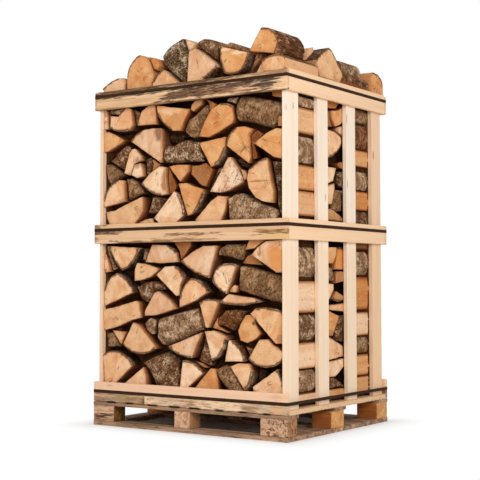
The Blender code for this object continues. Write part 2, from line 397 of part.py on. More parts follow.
def log_rings(ring, kind, face, back, put):
    """Rings of one log from its face to its far end.  A bark face swells about the log's own axis."""
    if kind == "cut":
        return [[put(p.x, p.y, face) for p in ring], [put(p.x, p.y, back) for p in ring]]
    cloud = np.array([(p.x, p.y) for p in ring])
    middle = cloud.mean(axis=0)
    spread = np.linalg.eigh(np.cov((cloud - middle).T))[1]
    axis = Vector(spread[:, 1])
    middle = Vector(middle)
    half_width = max(abs((p - middle).cross(axis)) for p in ring)
    left, right = min(p.x for p in ring), max(p.x for p in ring)
    swell = min(3.2, 0.55 * half_width)
    rings = []
    for narrow in (0.35, 0.8, 1.0):
        squeezed = []
        for p in ring:
            foot = middle + axis * (p - middle).dot(axis)
            point = foot + (p - foot) * narrow
            squeezed.append(Vector((min(max(point.x, left), right), point.y)))
        depth = face + swell * (1.0 - math.sqrt(1.0 - (narrow * 0.98) ** 2))
        rings.append([put(p.x, p.y, depth) for p in squeezed])
    rings.append([put(p.x, p.y, back) for p in ring])
    return rings


def join(name, kind, body, pieces):
    """Fuse a packed core and its logs into one closed body."""
    operands = bpy.data.collections.new(name + "_logs")
    for piece in pieces:
        bpy.context.scene.collection.objects.unlink(piece)
        operands.objects.link(piece)
    bpy.context.scene.collection.children.link(operands)
    fuse = body.modifiers.new("fuse", "BOOLEAN")
    fuse.operation = "UNION"
    fuse.solver = "EXACT"
    fuse.operand_type = "COLLECTION"
    fuse.collection = operands
    graph = bpy.context.evaluated_depsgraph_get()
    mesh = bpy.data.meshes.new_from_object(body.evaluated_get(graph))
    for piece in pieces:
        bpy.data.objects.remove(piece, do_unlink=True)
    bpy.data.collections.remove(operands)
    bpy.data.objects.remove(body, do_unlink=True)
    shape = bmesh.new()
    shape.from_mesh(mesh)
    bmesh.ops.remove_doubles(shape, verts=shape.verts, dist=0.00001)
    bmesh.ops.dissolve_limit(shape, angle_limit=0.0005, verts=shape.verts, edges=shape.edges)
    bmesh.ops.triangulate(shape, faces=shape.faces)
    return keep(name, kind, shape)


def half_turn(mesh, name, kind):
    """A copy of a body turned half round the middle of the crate."""
    shape = bmesh.new()
    shape.from_mesh(mesh)
    for vert in shape.verts:
        vert.co.x, vert.co.y = -vert.co.x, -vert.co.y
    return keep(name, kind, shape)


def facing_front(a, b, depth):
    return place(a, depth, b)


def facing_right(a, b, depth):
    return place(depth, a, b)


def facing_left(a, b, depth):
    return place(-depth, DEPTH - a, b)


# ---------------------------------------------------------------- pallet
def build_pallet():
    """Bottom boards, nine blocks and the deck of stringers and boards."""
    last = HALF_LENGTH
    frame = box("pallet_base", "weathered", (-last, -last + 10), (0, DEPTH), (0, BASE_TOP))
    boards = [box("board", "weathered", (last - 10, last), (0, DEPTH), (0, BASE_TOP))]
    for y0 in (0.0, 45.0, 90.0):
        boards.append(box("board", "weathered", (-last + 9.9, last - 9.9), (y0 + 0.02, y0 + 9.98), (0, BASE_TOP)))
    join("pallet_base", "weathered", frame, boards)
    for place_name, (x0, x1, y0, y1, kind) in BLOCKS.items():
        box("block_" + place_name, kind, (x0, x1), (y0, y1), (BASE_TOP + FIT, BLOCK_TOP - FIT), 0.2)
    deck = box("pallet_deck", "weathered", (-last, last), (0, 10), (BLOCK_TOP, STRINGER_TOP))
    boards = []
    for y0 in (45.0, 90.0):
        boards.append(box("board", "weathered", (-last, last), (y0, y0 + 10), (BLOCK_TOP, STRINGER_TOP)))
    for x0, x1 in DECK_BOARDS:
        boards.append(box("board", "weathered", (x0, x1), (BOARD + FIT, DEPTH - BOARD - FIT),
                          (STRINGER_TOP - 0.02, DECK_TOP)))
    join("pallet_deck", "weathered", deck, boards)


# ---------------------------------------------------------------- crate
def build_slats():
    """Four upright slats on each short side, a little out of true as nailed by hand."""
    inner = HALF_LENGTH - BOARD - FIT - SLAT
    outer = HALF_LENGTH - BOARD - FIT
    foot, head = DECK_TOP + FIT, SLAT_TOP
    for side, sign, slats in (("right", 1, SLATS_RIGHT), ("left", -1, SLATS_LEFT)):
        for number, (low, high, width) in enumerate(slats, start=1):
            rings = []
            for z, y0 in ((foot, low), (head, high)):
                rings.append([place(sign * x, y, z) for x, y in
                              ((inner, y0), (outer, y0), (outer, y0 + width), (inner, y0 + width))])
            keep("slat_%s_%d" % (side, number), "cream", stack_rings(rings))


def build_rails():
    """Rails round the top and the middle, the front and back ones lapping the ends of the others."""
    last = HALF_LENGTH
    for level in ("middle", "top"):
        low, high = RAILS[level]
        front = box("rail_%s_front" % level, "pine", (-last, last), (0, BOARD), (low, high), 0.15)
        half_turn(front.data, "rail_%s_back" % level, "pine")
        low, high = SIDE_RAILS[level]
        side = box("rail_%s_right" % level, "pine", (last - BOARD, last), (BOARD + FIT, DEPTH - BOARD - FIT),
                   (low, high), 0.15)
        half_turn(side.data, "rail_%s_left" % level, "pine")
    base = box("base_rail_front", "pink", (-last, last), (0, BOARD), BASE_RAIL, 0.15)
    half_turn(base.data, "base_rail_back", "pink")
    for number, span in enumerate(((-last, -25.9), (-25.8, 3.2), (3.3, last)), start=1):
        box("kick_board_front_%d" % number, "weathered", span, (0, BOARD), KICK_BOARD, 0.15)
    box("kick_board_back", "weathered", (-last, last), (DEPTH - BOARD, DEPTH), KICK_BOARD, 0.15)


def build_straps():
    """Three bands pulled tight round the rails: each a rounded rectangle loop."""
    for level, height in STRAPS.items():
        rings = []
        for gap, z in ((FIT, -1), (FIT + STRAP_THICKNESS, -1), (FIT + STRAP_THICKNESS, 1), (FIT, 1)):
            loop = []
            for sx, sy, turn in ((1, 1, 0), (-1, 1, 90), (-1, -1, 180), (1, -1, 270)):
                for angle in (0, 30, 60, 90):
                    bend = math.radians(turn + angle)
                    radius = 0.25 + gap
                    x = sx * (HALF_LENGTH - 0.25) + radius * math.cos(bend)
                    y = DEPTH / 2 + sy * (DEPTH / 2 - 0.25) + radius * math.sin(bend)
                    loop.append(place(x, y, height + z * STRAP_WIDTH / 2))
            rings.append(loop)
        shape = bmesh.new()
        loops = [[shape.verts.new(point) for point in ring] for ring in rings]
        for near, far in zip(loops, loops[1:] + loops[:1]):
            for i in range(len(near)):
                j = (i + 1) % len(near)
                shape.faces.new((near[i], near[j], far[j], far[i]))
        keep("strap_" + level, "strap", shape)


# ---------------------------------------------------------------- packed rows
def side_log(low, high, swell, y0, y1):
    """A log lying front to back against the slats, its long side swelling toward them."""
    flat = STACK_HALF - swell
    ring = outline([(CORE_HALF - 4, low), (flat - 0.8, low), (flat, low + 0.8, swell), (flat, high - 0.8),
                    (flat - 0.8, high), (CORE_HALF - 4, high)])
    rings = [[place(p.x, y, p.y) for p in ring] for y in (y0, y1)]
    return keep("log", "bark", stack_rings(rings))


def build_front_row():
    """The row whose sawn ends fill the open side."""
    start, end = ROW_ENDS[0], ROW_ENDS[1]
    core = box("core", "log_end", (-CORE_HALF, CORE_HALF), (CORE_FRONT, end), (DECK_TOP + FIT, ROW_TOP))
    logs = []
    for kind, set_back, points in FRONT_LOGS:
        ring = outline(points, 3)
        rings = log_rings(ring, kind, start + set_back, CORE_FRONT + 4.5, facing_front)
        logs.append(keep("log", kind_material(kind), stack_rings(rings)))
    for low, high, swell in SIDE_FRONT_LOGS:
        logs.append(side_log(low, high, swell, 16.5, end - 0.3))
    for low, high, swell in SIDE_BACK_LOGS:
        turned = side_log(low, high, swell, DEPTH - end + 0.3, DEPTH - 16.5)
        half_turn_in_place(turned)
        logs.append(turned)
    return join("front_row_logs", "log_end", core, logs)


def kind_material(kind):
    return "bark" if kind == "bark" else "log_end"


def half_turn_in_place(body):
    for vert in body.data.vertices:
        vert.co.x, vert.co.y = -vert.co.x, -vert.co.y


def fill_logs(outlines, start, end):
    """Logs that run front to back on top of a packed row, their ends not quite in line."""
    logs = []
    for number, points in enumerate(outlines):
        shift = 0.4 * (number * 2 % 5)
        ring = outline(points, 5)
        rings = [[place(p.x, y, p.y) for p in ring] for y in (start + shift, end - 1.6 + shift)]
        logs.append(keep("log", "bark", stack_rings(rings)))
    return logs


def build_middle_row():
    """The crosswise row, whose sawn ends show between the slats."""
    start, end = ROW_ENDS[1] + FIT, ROW_ENDS[2] - FIT
    core = box("core", "log_end", (-CORE_HALF, CORE_HALF), (start, end), (DECK_TOP + FIT, ROW_TOP))
    logs = []
    for number, points in enumerate(MIDDLE_LOGS):
        ring = outline(points, 3)
        face = STACK_HALF - 0.1 - 0.35 * (number % 3)
        for facing in (facing_right, facing_left):
            rings = log_rings(ring, "cut", face, CORE_HALF - 5, facing)
            logs.append(keep("log", "log_end", stack_rings(rings)))
    logs += fill_logs(MIDDLE_FILL, start + 2, end - 1.5)
    return join("middle_row_logs", "log_end", core, logs)


def build_back_row(front_row):
    """The front row turned half round, with more logs heaped on it."""
    body = half_turn(front_row.data, "core", "log_end")
    return join("back_row_logs", "log_end", body, fill_logs(BACK_FILL, ROW_ENDS[2] + 2, ROW_ENDS[3] - 0.5))


# ---------------------------------------------------------------- heap
def build_heap():
    """The loose logs above the top rails."""
    number = 0
    for kind, face, length, turn, points in HEAP_LOGS:
        number += 1
        ring = outline(points, 4)
        rings = log_rings(ring, kind, face, face + length, facing_front)
        if turn:
            pivot = rings[0][0].copy()
            angle = math.radians(turn)
            for loop in rings:
                for point in loop:
                    away = point - pivot
                    point.x = pivot.x + away.x * math.cos(angle) - away.y * math.sin(angle)
                    point.y = pivot.y + away.x * math.sin(angle) + away.y * math.cos(angle)
        keep("heap_log_%02d" % number, kind_material(kind), stack_rings(rings))
    for face, length, points in HEAP_CROSS_LOGS:
        number += 1
        rings = log_rings(outline(points, 4), "cut", face, face - length, facing_right)
        keep("heap_log_%02d" % number, "log_end", stack_rings(rings))


build_pallet()
build_slats()
build_rails()
build_straps()
front = build_front_row()
build_middle_row()
build_back_row(front)
build_heap()
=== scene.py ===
# %% [markdown]
# # A crate of split firewood
#
# The real thing is a slatted box nailed on a block pallet, packed with split logs in three rows
# and heaped above its top rails.  Three plastic bands hold the boards.
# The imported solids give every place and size.  This lesson dresses them: first a way to grow one
# log, then the rows, the heap, the sawn boards, the bands, and last the light.

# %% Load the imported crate
import math
import random

import bmesh
import bpy
import numpy as np
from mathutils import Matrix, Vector, noise
from mathutils.geometry import delaunay_2d_cdt


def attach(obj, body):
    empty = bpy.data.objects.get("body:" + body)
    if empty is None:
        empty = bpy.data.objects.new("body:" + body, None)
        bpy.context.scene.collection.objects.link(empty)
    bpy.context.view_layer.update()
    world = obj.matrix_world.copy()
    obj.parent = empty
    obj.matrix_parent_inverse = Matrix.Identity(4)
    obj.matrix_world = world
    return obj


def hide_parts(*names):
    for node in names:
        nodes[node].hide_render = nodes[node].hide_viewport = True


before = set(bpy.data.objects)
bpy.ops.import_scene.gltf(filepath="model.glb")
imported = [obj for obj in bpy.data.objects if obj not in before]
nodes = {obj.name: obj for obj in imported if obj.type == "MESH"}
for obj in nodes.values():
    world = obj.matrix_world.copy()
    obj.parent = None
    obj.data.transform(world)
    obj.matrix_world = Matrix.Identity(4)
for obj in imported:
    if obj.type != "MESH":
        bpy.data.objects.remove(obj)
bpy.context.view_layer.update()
link = bpy.context.scene.collection.objects.link
print("solids loaded:", len(nodes))

# %% [markdown]
# ## Sizes and small helpers
#
# Sizes are written in centimetres, the way a woodcutter would measure, with y counted from the
# front of the crate.  One function turns them into metres about the middle of the pallet.
# A log's outline is drawn flat, as it looks from one side of the crate, so four more functions
# say where such a flat point lies when the side faces front, right, left or up.

# %% Sizes and helpers
CM = 0.01
DEPTH = 100.0                           # of the crate, front to back
ROW_TOP = 173.0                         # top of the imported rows, where the heap begins
ROW_ENDS = (2.25, 33.9, 65.8, 97.75)    # y where the three rows begin and end
CORE_BOTTOM, CORE_TOP = 14.6, 170.5     # the dark heart of a row stays inside its logs
STACK_HALF = 55.92                      # half the length that the logs take up between the slats


def place(x, y, z):
    """Crate centimetres, y from the front face, to metres about the middle."""
    return Vector((x * CM, (y - DEPTH / 2) * CM, z * CM))


def facing_front(a, b, depth):
    return place(a, depth, b)


def facing_right(a, b, depth):
    return place(STACK_HALF - depth, a, b)


def facing_left(a, b, depth):
    return place(depth - STACK_HALF, DEPTH - a, b)


def facing_up(a, b, depth):
    return place(a, b, ROW_TOP + 0.6 - depth)


print("front left corner of the rows' top:", [round(v, 3) for v in place(-STACK_HALF, 0, ROW_TOP)])

# %% [markdown]
# ## Colours of the wood
#
# Fresh cut ends of beech, birch and alder run from cream to orange.  Bark runs from grey with
# lichen to nearly black.  Each log in the tables below names one of these, so that neighbours
# differ as they do in a real pile.  Colours are written as the hex codes of a paint card, and one
# function makes them linear, which is how the renderer reckons.

# %% Colours of ends and bark
def paint(code, extra=1.0):
    """Hex code of a colour card to linear red, green, blue, and a fourth number that goes along."""
    parts = [int(code[i:i + 2], 16) / 255 for i in (1, 3, 5)]
    linear = [c / 12.92 if c <= 0.04045 else ((c + 0.055) / 1.055) ** 2.4 for c in parts]
    return (*linear, extra)


WOOD = {
    "cream": "#F3CFAA", "pale": "#EEC196", "peach": "#E6B688", "pink": "#E5BD99", "gold": "#E0A871",
    "orange": "#DA9D65", "deep": "#D18C4F", "tan": "#BC8558", "rose": "#C49162", "brown": "#A66D40",
    "russet": "#935927", "dusk": "#7D4620", "crazed": "#ECCCAD",
}
BARK = {
    "lichen": "#886040", "ash": "#865A39", "moss": "#6C5034", "rosy": "#AB805C", "umber": "#7B4D2C",
    "dusk": "#654022", "plum": "#6A4632", "russet": "#845029", "brown": "#9A6F49", "coal": "#422610",
    "ribbed": "#70462C",
}
# how much of the bark is under lichen; above 1 the bark is ribbed lengthwise as well
LICHEN = {
    "lichen": 0.75, "ash": 0.6, "moss": 0.7, "rosy": 0.7, "umber": 0.45, "dusk": 0.35, "coal": 0.1,
    "ribbed": 1.5,
}
LITTLE_LICHEN = 0.25
# the fourth number of an end: above 1 the end is crazed by fast drying
WOOD_PAINT = {name: paint(code, 2.0 if name == "crazed" else 1.0) for name, code in WOOD.items()}
BARK_PAINT = {name: paint(code, LICHEN.get(name, LITTLE_LICHEN)) for name, code in BARK.items()}
BARK_CYCLE = ("dusk", "umber", "ash", "plum", "moss", "dusk", "rosy", "russet")


def any_paint(tone):
    """Colour of a log that lies across: its bark, or its wood where it is split."""
    return BARK_PAINT.get(tone) or WOOD_PAINT[tone]


def cycled_bark(number):
    """The bark of a log whose table line gives only the colour of its end."""
    return BARK_PAINT[BARK_CYCLE[number % len(BARK_CYCLE)]]


print("wood tones:", len(WOOD), "bark tones:", len(BARK))

# %% [markdown]
# ## The logs, one line each
#
# A log lies one of two ways.  A "cut" log points at the viewer and shows its sawn end; a "bark"
# log lies across and shows its round side.  The outline walks round what shows, as (x, z) or
# (x, z, bow), where bow is how far the edge leaving that point swells outward, as bark does.
# Straight edges are split faces.  The number after the colour says how far the log is set back.
# A random packing would be shorter to write, but a real pile is stacked by hand, each log laid
# where it fits, and only drawn outlines give that look.

# %% Front logs on the crate floor (cm)
BOTTOM_LOGS = [
    ("cut", "pale", 0.3, [(-54.8, 16), (-36.4, 31.8, 4.2), (-55.9, 36.6)]),
    ("cut", "pale", 0.8, [(-50.8, 16), (-27.2, 16), (-27.8, 26.5), (-29.6, 30.8)]),
    ("bark", "ash", 0.6, [(-20.6, 17), (-8.6, 17), (-6.2, 28), (-8.4, 36), (-15.1, 39.3), (-22.6, 37),
        (-29.8, 32.7)]),
    ("cut", "cream", 0.2, [(-5.6, 17.5), (9.4, 30, 1.5), (-3.4, 35.6)]),
    ("cut", "orange", 1.6, [(-2.1, 16.6), (17.8, 16.5), (16.8, 27.2), (15.8, 31.8), (12.6, 32)]),
    ("bark", "brown", 0.6, [(28.1, 16.5), (36.2, 18.6), (24.6, 33), (21.9, 34.6), (16.6, 31),
        (17.1, 27.6)]),
    ("cut", "pale", 0.3, [(34.4, 22, 1), (38, 32), (36.6, 35.3), (30.6, 35.4), (25.2, 33.6)]),
    ("cut", "cream", 0.8, [(39.6, 16.5), (54.2, 16.5), (55.9, 25, 0.5), (52.1, 33.2), (38.2, 24.4)]),
    ("bark", "coal", 4, [(38.8, 26.5), (43, 29), (44.2, 32.2), (40, 33.6)]),
    ("cut", "peach", 1.2, [(-44.4, 42.3), (-41.3, 48.6), (-50.3, 49.2)]),
    ("bark", "brown", 1.6, [(-54.8, 39.8), (-45.8, 40.8), (-45.4, 42), (-50.8, 48.6), (-54.5, 47.6)]),
    ("cut", "peach", 0.2, [(-43, 42, 3.8), (-20.9, 40.6), (-21.2, 42.4), (-31.8, 52.4), (-35.6, 53.6)]),
    ("bark", "rosy", 0.2, [(-17.6, 42.2), (-12.1, 42.9), (8.2, 50.6), (5.8, 62), (-0.6, 61),
        (-20.3, 56.3), (-20, 48)]),
    ("cut", "dusk", 1.4, [(8.6, 52.2), (9.9, 52.6), (7.4, 59.6), (6.8, 58.8)]),
    ("bark", "rosy", 1.8, [(-26.3, 47.5), (-22.5, 48), (-22.8, 55.4), (-25.6, 56.2), (-30.2, 53),
        (-29.3, 50.4)]),
    ("cut", "pink", 0.2, [(-12.8, 42, 1.3), (2.2, 36.8), (5.4, 44), (8.2, 49.6)]),
    ("bark", "ash", 3, [(3, 35.6), (12, 33), (13.3, 36.5), (11.8, 43), (9, 47.6), (6.4, 43.5)]),
    ("cut", "rose", 2.4, [(3.6, 35), (8, 32.4), (10.8, 32.2), (7, 34.3)]),
    ("cut", "cream", 0.3, [(14.2, 35.8, 1.8), (23.2, 46.8), (22.4, 48.2), (15.4, 50.7), (10, 50.2)]),
    ("cut", "cream", 0.3, [(22.4, 35.8), (34.2, 36.4, 1.3), (26.6, 46.2), (24.8, 46.2)]),
    ("bark", "russet", 3, [(34.8, 39), (36.5, 39.2), (38.2, 42.2), (36.4, 42.4), (33, 43.3)]),
    ("cut", "peach", 0.3, [(35.9, 37.4, 3.9), (55.9, 38), (55.9, 41.5), (49.6, 45), (47.1, 47.2),
        (42.3, 47)]),
]
print("logs on the floor:", len(BOTTOM_LOGS))

# %% [markdown]
# ## Front logs under the middle rail
#
# Whole quarters lie below, and smaller splits where the rail closed in.

# %% Front logs under the middle rail (cm)
LOWER_LOGS = [
    ("cut", "peach", 0.4, [(-55.9, 49), (-46.8, 51.2), (-36.8, 54.9), (-30.8, 56.2), (-32.2, 64),
        (-33.8, 64.8), (-46.8, 61.6), (-55.9, 60)]),
    ("cut", "pale", 0.2, [(-55.6, 61.8), (-35, 69.4, 1.8), (-46.8, 79, 1.8), (-55.8, 70)]),
    ("bark", "ash", 1.6, [(-30.8, 64.2), (-27.8, 63.4), (-26, 65), (-22.6, 69.7), (-15.6, 70.9),
        (-19.1, 73.8), (-23.6, 75), (-30.2, 74.7), (-34.2, 72.2), (-32, 68)]),
    ("cut", "pink", 0.2, [(-27.8, 57.2), (-20.6, 57.6), (-7.4, 61.2), (-11.6, 65.4), (-19.1, 69.8),
        (-21.8, 68.8), (-25.4, 63.2), (-27.6, 60)]),
    ("cut", "cream", 0.2, [(-8.1, 67.4), (-6.2, 67.7), (-5.5, 73), (-3.5, 77.2, 0.8), (-8.6, 82.4),
        (-14.6, 82.2), (-20.2, 78)]),
    ("cut", "peach", 0.8, [(-35, 75), (-30.3, 75.5), (-24.6, 77.2), (-19.8, 80.5), (-20.8, 81.7),
        (-28.3, 83.8), (-33.3, 84.2), (-34.8, 81)]),
    ("cut", "pale", 0.6, [(-52.5, 93.3, 1.2), (-43.8, 80.4, 2), (-31.9, 91.9)]),
    ("cut", "pale", 0.8, [(-55.1, 79.4), (-51.8, 79.8), (-53, 84), (-55, 88.8), (-55.9, 89.4),
        (-55.9, 82)]),
    ("bark", "rosy", 2, [(-51, 80.4), (-47.8, 81.4), (-51.3, 86), (-53.3, 93.4), (-55.6, 93.6),
        (-54.4, 89.2)]),
    ("bark", "umber", 3, [(-32, 85.8), (-28.5, 85), (-26.8, 89), (-25.4, 91.8), (-31.2, 91.8)]),
    ("cut", "pale", 0.2, [(-5.3, 61.8), (4.4, 65.1), (12.6, 69.9, 1.6), (1.4, 76.3, 1.6), (-5.4, 66)]),
    ("cut", "pink", 0.6, [(-27.6, 84.6), (-17.6, 83.9), (-6.9, 84.5), (-8.1, 89.5, 0.5), (-13.6, 93),
        (-23.4, 93.4)]),
    ("cut", "brown", 1.2, [(-5.2, 85.8), (0.7, 92), (1.2, 95), (-10.2, 95), (-6.2, 90)]),
    ("cut", "pink", 0, [(-4.6, 84.6, 1), (12.3, 76.4), (17.7, 92.2), (9.4, 92.2), (3.4, 89.6)]),
    ("cut", "cream", 0.3, [(22.9, 68.7), (25.1, 73), (28.9, 82.8, 1.2), (18.4, 82, 1.1), (15, 74.5, 0.6)]),
    ("cut", "peach", 0.5, [(10.8, 52), (12.5, 52), (18.6, 65, 1.4), (6.6, 64.4)]),
    ("bark", "russet", 1.6, [(17.8, 53.4), (25.6, 50.4), (29.4, 53.6), (30.6, 58), (33.4, 60),
        (30.6, 60.8), (25.6, 61.3), (20.1, 60.6), (17.3, 57.5)]),
    ("cut", "gold", 2.2, [(13.6, 52), (23, 49.8), (17.2, 52.6), (16.4, 57)]),
    ("cut", "pink", 0.5, [(18.8, 64.4, 1.6), (43.2, 65), (38.1, 66.8), (28.6, 67.9), (24.6, 68.6),
        (22.3, 66.9)]),
    ("cut", "peach", 1, [(25, 69.7), (28.5, 69.4), (29.4, 72.4), (27.6, 73), (25.6, 71.2)]),
    ("bark", "brown", 0.2, [(29.6, 69.9), (39.6, 67.2), (47.6, 65.2), (55.9, 63.9), (55.9, 76.8),
        (49.6, 78.5), (36.6, 81.8), (31.6, 82.4), (30.9, 76)]),
    ("cut", "brown", 2, [(32.1, 83.5), (37.6, 82.9), (43.6, 82.5), (37.2, 87.9), (34.6, 86.8)]),
    ("cut", "pink", 0.2, [(38.1, 87.5), (52.1, 78.9), (55.9, 79), (55.9, 94.4), (46.6, 93.8), (41.6, 91)]),
    ("cut", "gold", 1.6, [(33.6, 90), (38.9, 90.6), (45.2, 94.8), (36, 94.8)]),
    ("bark", "brown", 1.4, [(17.4, 87.5), (24.6, 86.2), (30.9, 84.6), (32, 86.4), (34, 93), (21.6, 93),
        (18.6, 91.5)]),
    ("cut", "gold", 1, [(31, 46.4), (35.1, 45.2), (40.1, 47.3), (42.8, 50), (39.6, 54), (39.1, 57.3),
        (36.6, 58.7), (33.9, 58.5), (31.2, 54.5), (29.6, 51)]),
    ("cut", "peach", 0.3, [(51.4, 45.4), (55.9, 45.4), (55.9, 60, 1.2), (40.6, 62), (37.4, 59.3)]),
]
print("logs under the middle rail:", len(LOWER_LOGS))

# %% [markdown]
# ## Front logs above the middle rail
#
# The rail hides where the lower half ends, so these start behind it.

# %% Front logs above the middle rail (cm)
UPPER_LOGS = [
    ("cut", "peach", 0.3, [(-52.3, 104), (-48.8, 101), (-38.8, 101), (-32.5, 106.8), (-29.4, 111),
        (-29.2, 116), (-30, 118.2), (-40.8, 114.7), (-48.8, 111.8), (-55.2, 111.2), (-54.2, 108)]),
    ("cut", "pale", 0.1, [(-55.6, 113.8), (-41.8, 116.1), (-41.9, 127.2), (-45.8, 127.6, 2.2),
        (-55.7, 117)]),
    ("bark", "brown", 1.2, [(-41.2, 116.7), (-30.4, 120.1), (-30.7, 121.6), (-35.8, 126.4),
        (-38.3, 128.4), (-41.1, 128.2)]),
    ("bark", "umber", 2.6, [(-27.6, 109.6), (-23.1, 109.2), (-14.8, 116.7), (-19.6, 117.7),
        (-26.1, 118.5)]),
    ("cut", "pale", 1.2, [(-33.8, 103), (-22.4, 103), (-23.6, 106.9), (-26.8, 106.7), (-31.8, 105.5)]),
    ("cut", "cream", 0.1, [(-21.8, 107), (-16.6, 103), (-8.6, 103.5), (-2.6, 108, 0.8), (-6.4, 118.4),
        (-8.8, 120)]),
    ("cut", "cream", 0.2, [(-30.7, 124.7, 1.3), (-17.6, 118.4), (-13.7, 118.9), (-14.8, 127),
        (-14.5, 132.6), (-18.6, 133.2), (-25.4, 129.6)]),
    ("cut", "russet", 2.2, [(-13.3, 119.2), (-11, 119.6), (-9, 122.5), (-12.9, 131.4), (-13.9, 131.8),
        (-14, 126)]),
    ("cut", "gold", 0.9, [(-5.8, 124.8), (-0.7, 129.6), (-0.1, 133), (-7.6, 133.4), (-12.8, 132.8)]),
    ("cut", "gold", 0.3, [(-0.6, 107.5), (2.9, 108.5, 0.8), (9, 118.5), (8.9, 120.3), (2.4, 122.3),
        (-1.2, 123.9), (-6.1, 123.8)]),
    ("cut", "brown", 2.2, [(0.2, 128.4), (7, 122.4), (9.7, 121.7), (13.7, 130), (9.4, 133.5),
        (4.4, 132.4), (0.8, 132.7)]),
    ("bark", "dusk", 4, [(10.4, 120.7), (13.8, 119.7), (20.2, 130.4), (18.4, 131.6), (15.2, 130.4)]),
    ("bark", "lichen", 0.2, [(-16.1, 134.9), (-8.6, 134.3), (0.4, 134.5), (7.7, 134.3), (8.4, 135.7),
        (5.7, 141.5), (5.9, 144.4), (1.4, 144.9), (-1.6, 146.3), (-6.6, 145.6), (-11.1, 143.4),
        (-15.6, 143.9), (-16.1, 140)]),
    ("cut", "crazed", 0.1, [(13.7, 118.8), (19.6, 118.1), (24.6, 119), (32, 122.2), (32.8, 124.5),
        (29.8, 130), (25.8, 135.2), (24.4, 135)]),
    ("cut", "cream", 0.9, [(33.5, 123.8), (34.6, 126), (33.4, 128), (31.6, 128.9)]),
    ("bark", "coal", 2.6, [(27.6, 133.8), (30.8, 130.4), (34.6, 129.2), (36.2, 130.9), (30.6, 134.7)]),
    ("cut", "peach", 0.2, [(50.4, 111.9), (50.5, 118), (49.1, 122), (47.2, 131.8), (46.3, 133.7, 0.8),
        (36.3, 128.9), (34.8, 124.5), (36.1, 119.7), (40.3, 114.8), (45.1, 112.7)]),
    ("bark", "dusk", 1.6, [(53.4, 106.4), (55.9, 106.4), (55.9, 131.3), (49.8, 132), (48.3, 131.3),
        (50.2, 122.5), (51.3, 118), (51.4, 111.4)]),
    ("bark", "rosy", 0.4, [(24, 102.5), (51.9, 102.5), (52.4, 107), (51.2, 109), (43.6, 111.7),
        (35.6, 115.8), (30.6, 117.8), (26.4, 117.6), (24, 115.4)]),
    ("cut", "peach", 0.3, [(4.4, 105.2), (7.4, 102.5), (18.4, 102.5), (22, 109.5), (23.5, 116.1),
        (18.1, 116.6), (14.1, 114.3)]),
]
print("logs above the middle rail:", len(UPPER_LOGS))

# %% [markdown]
# ## Front logs under the top rail
#
# Small splits and flat pieces close the last gaps.

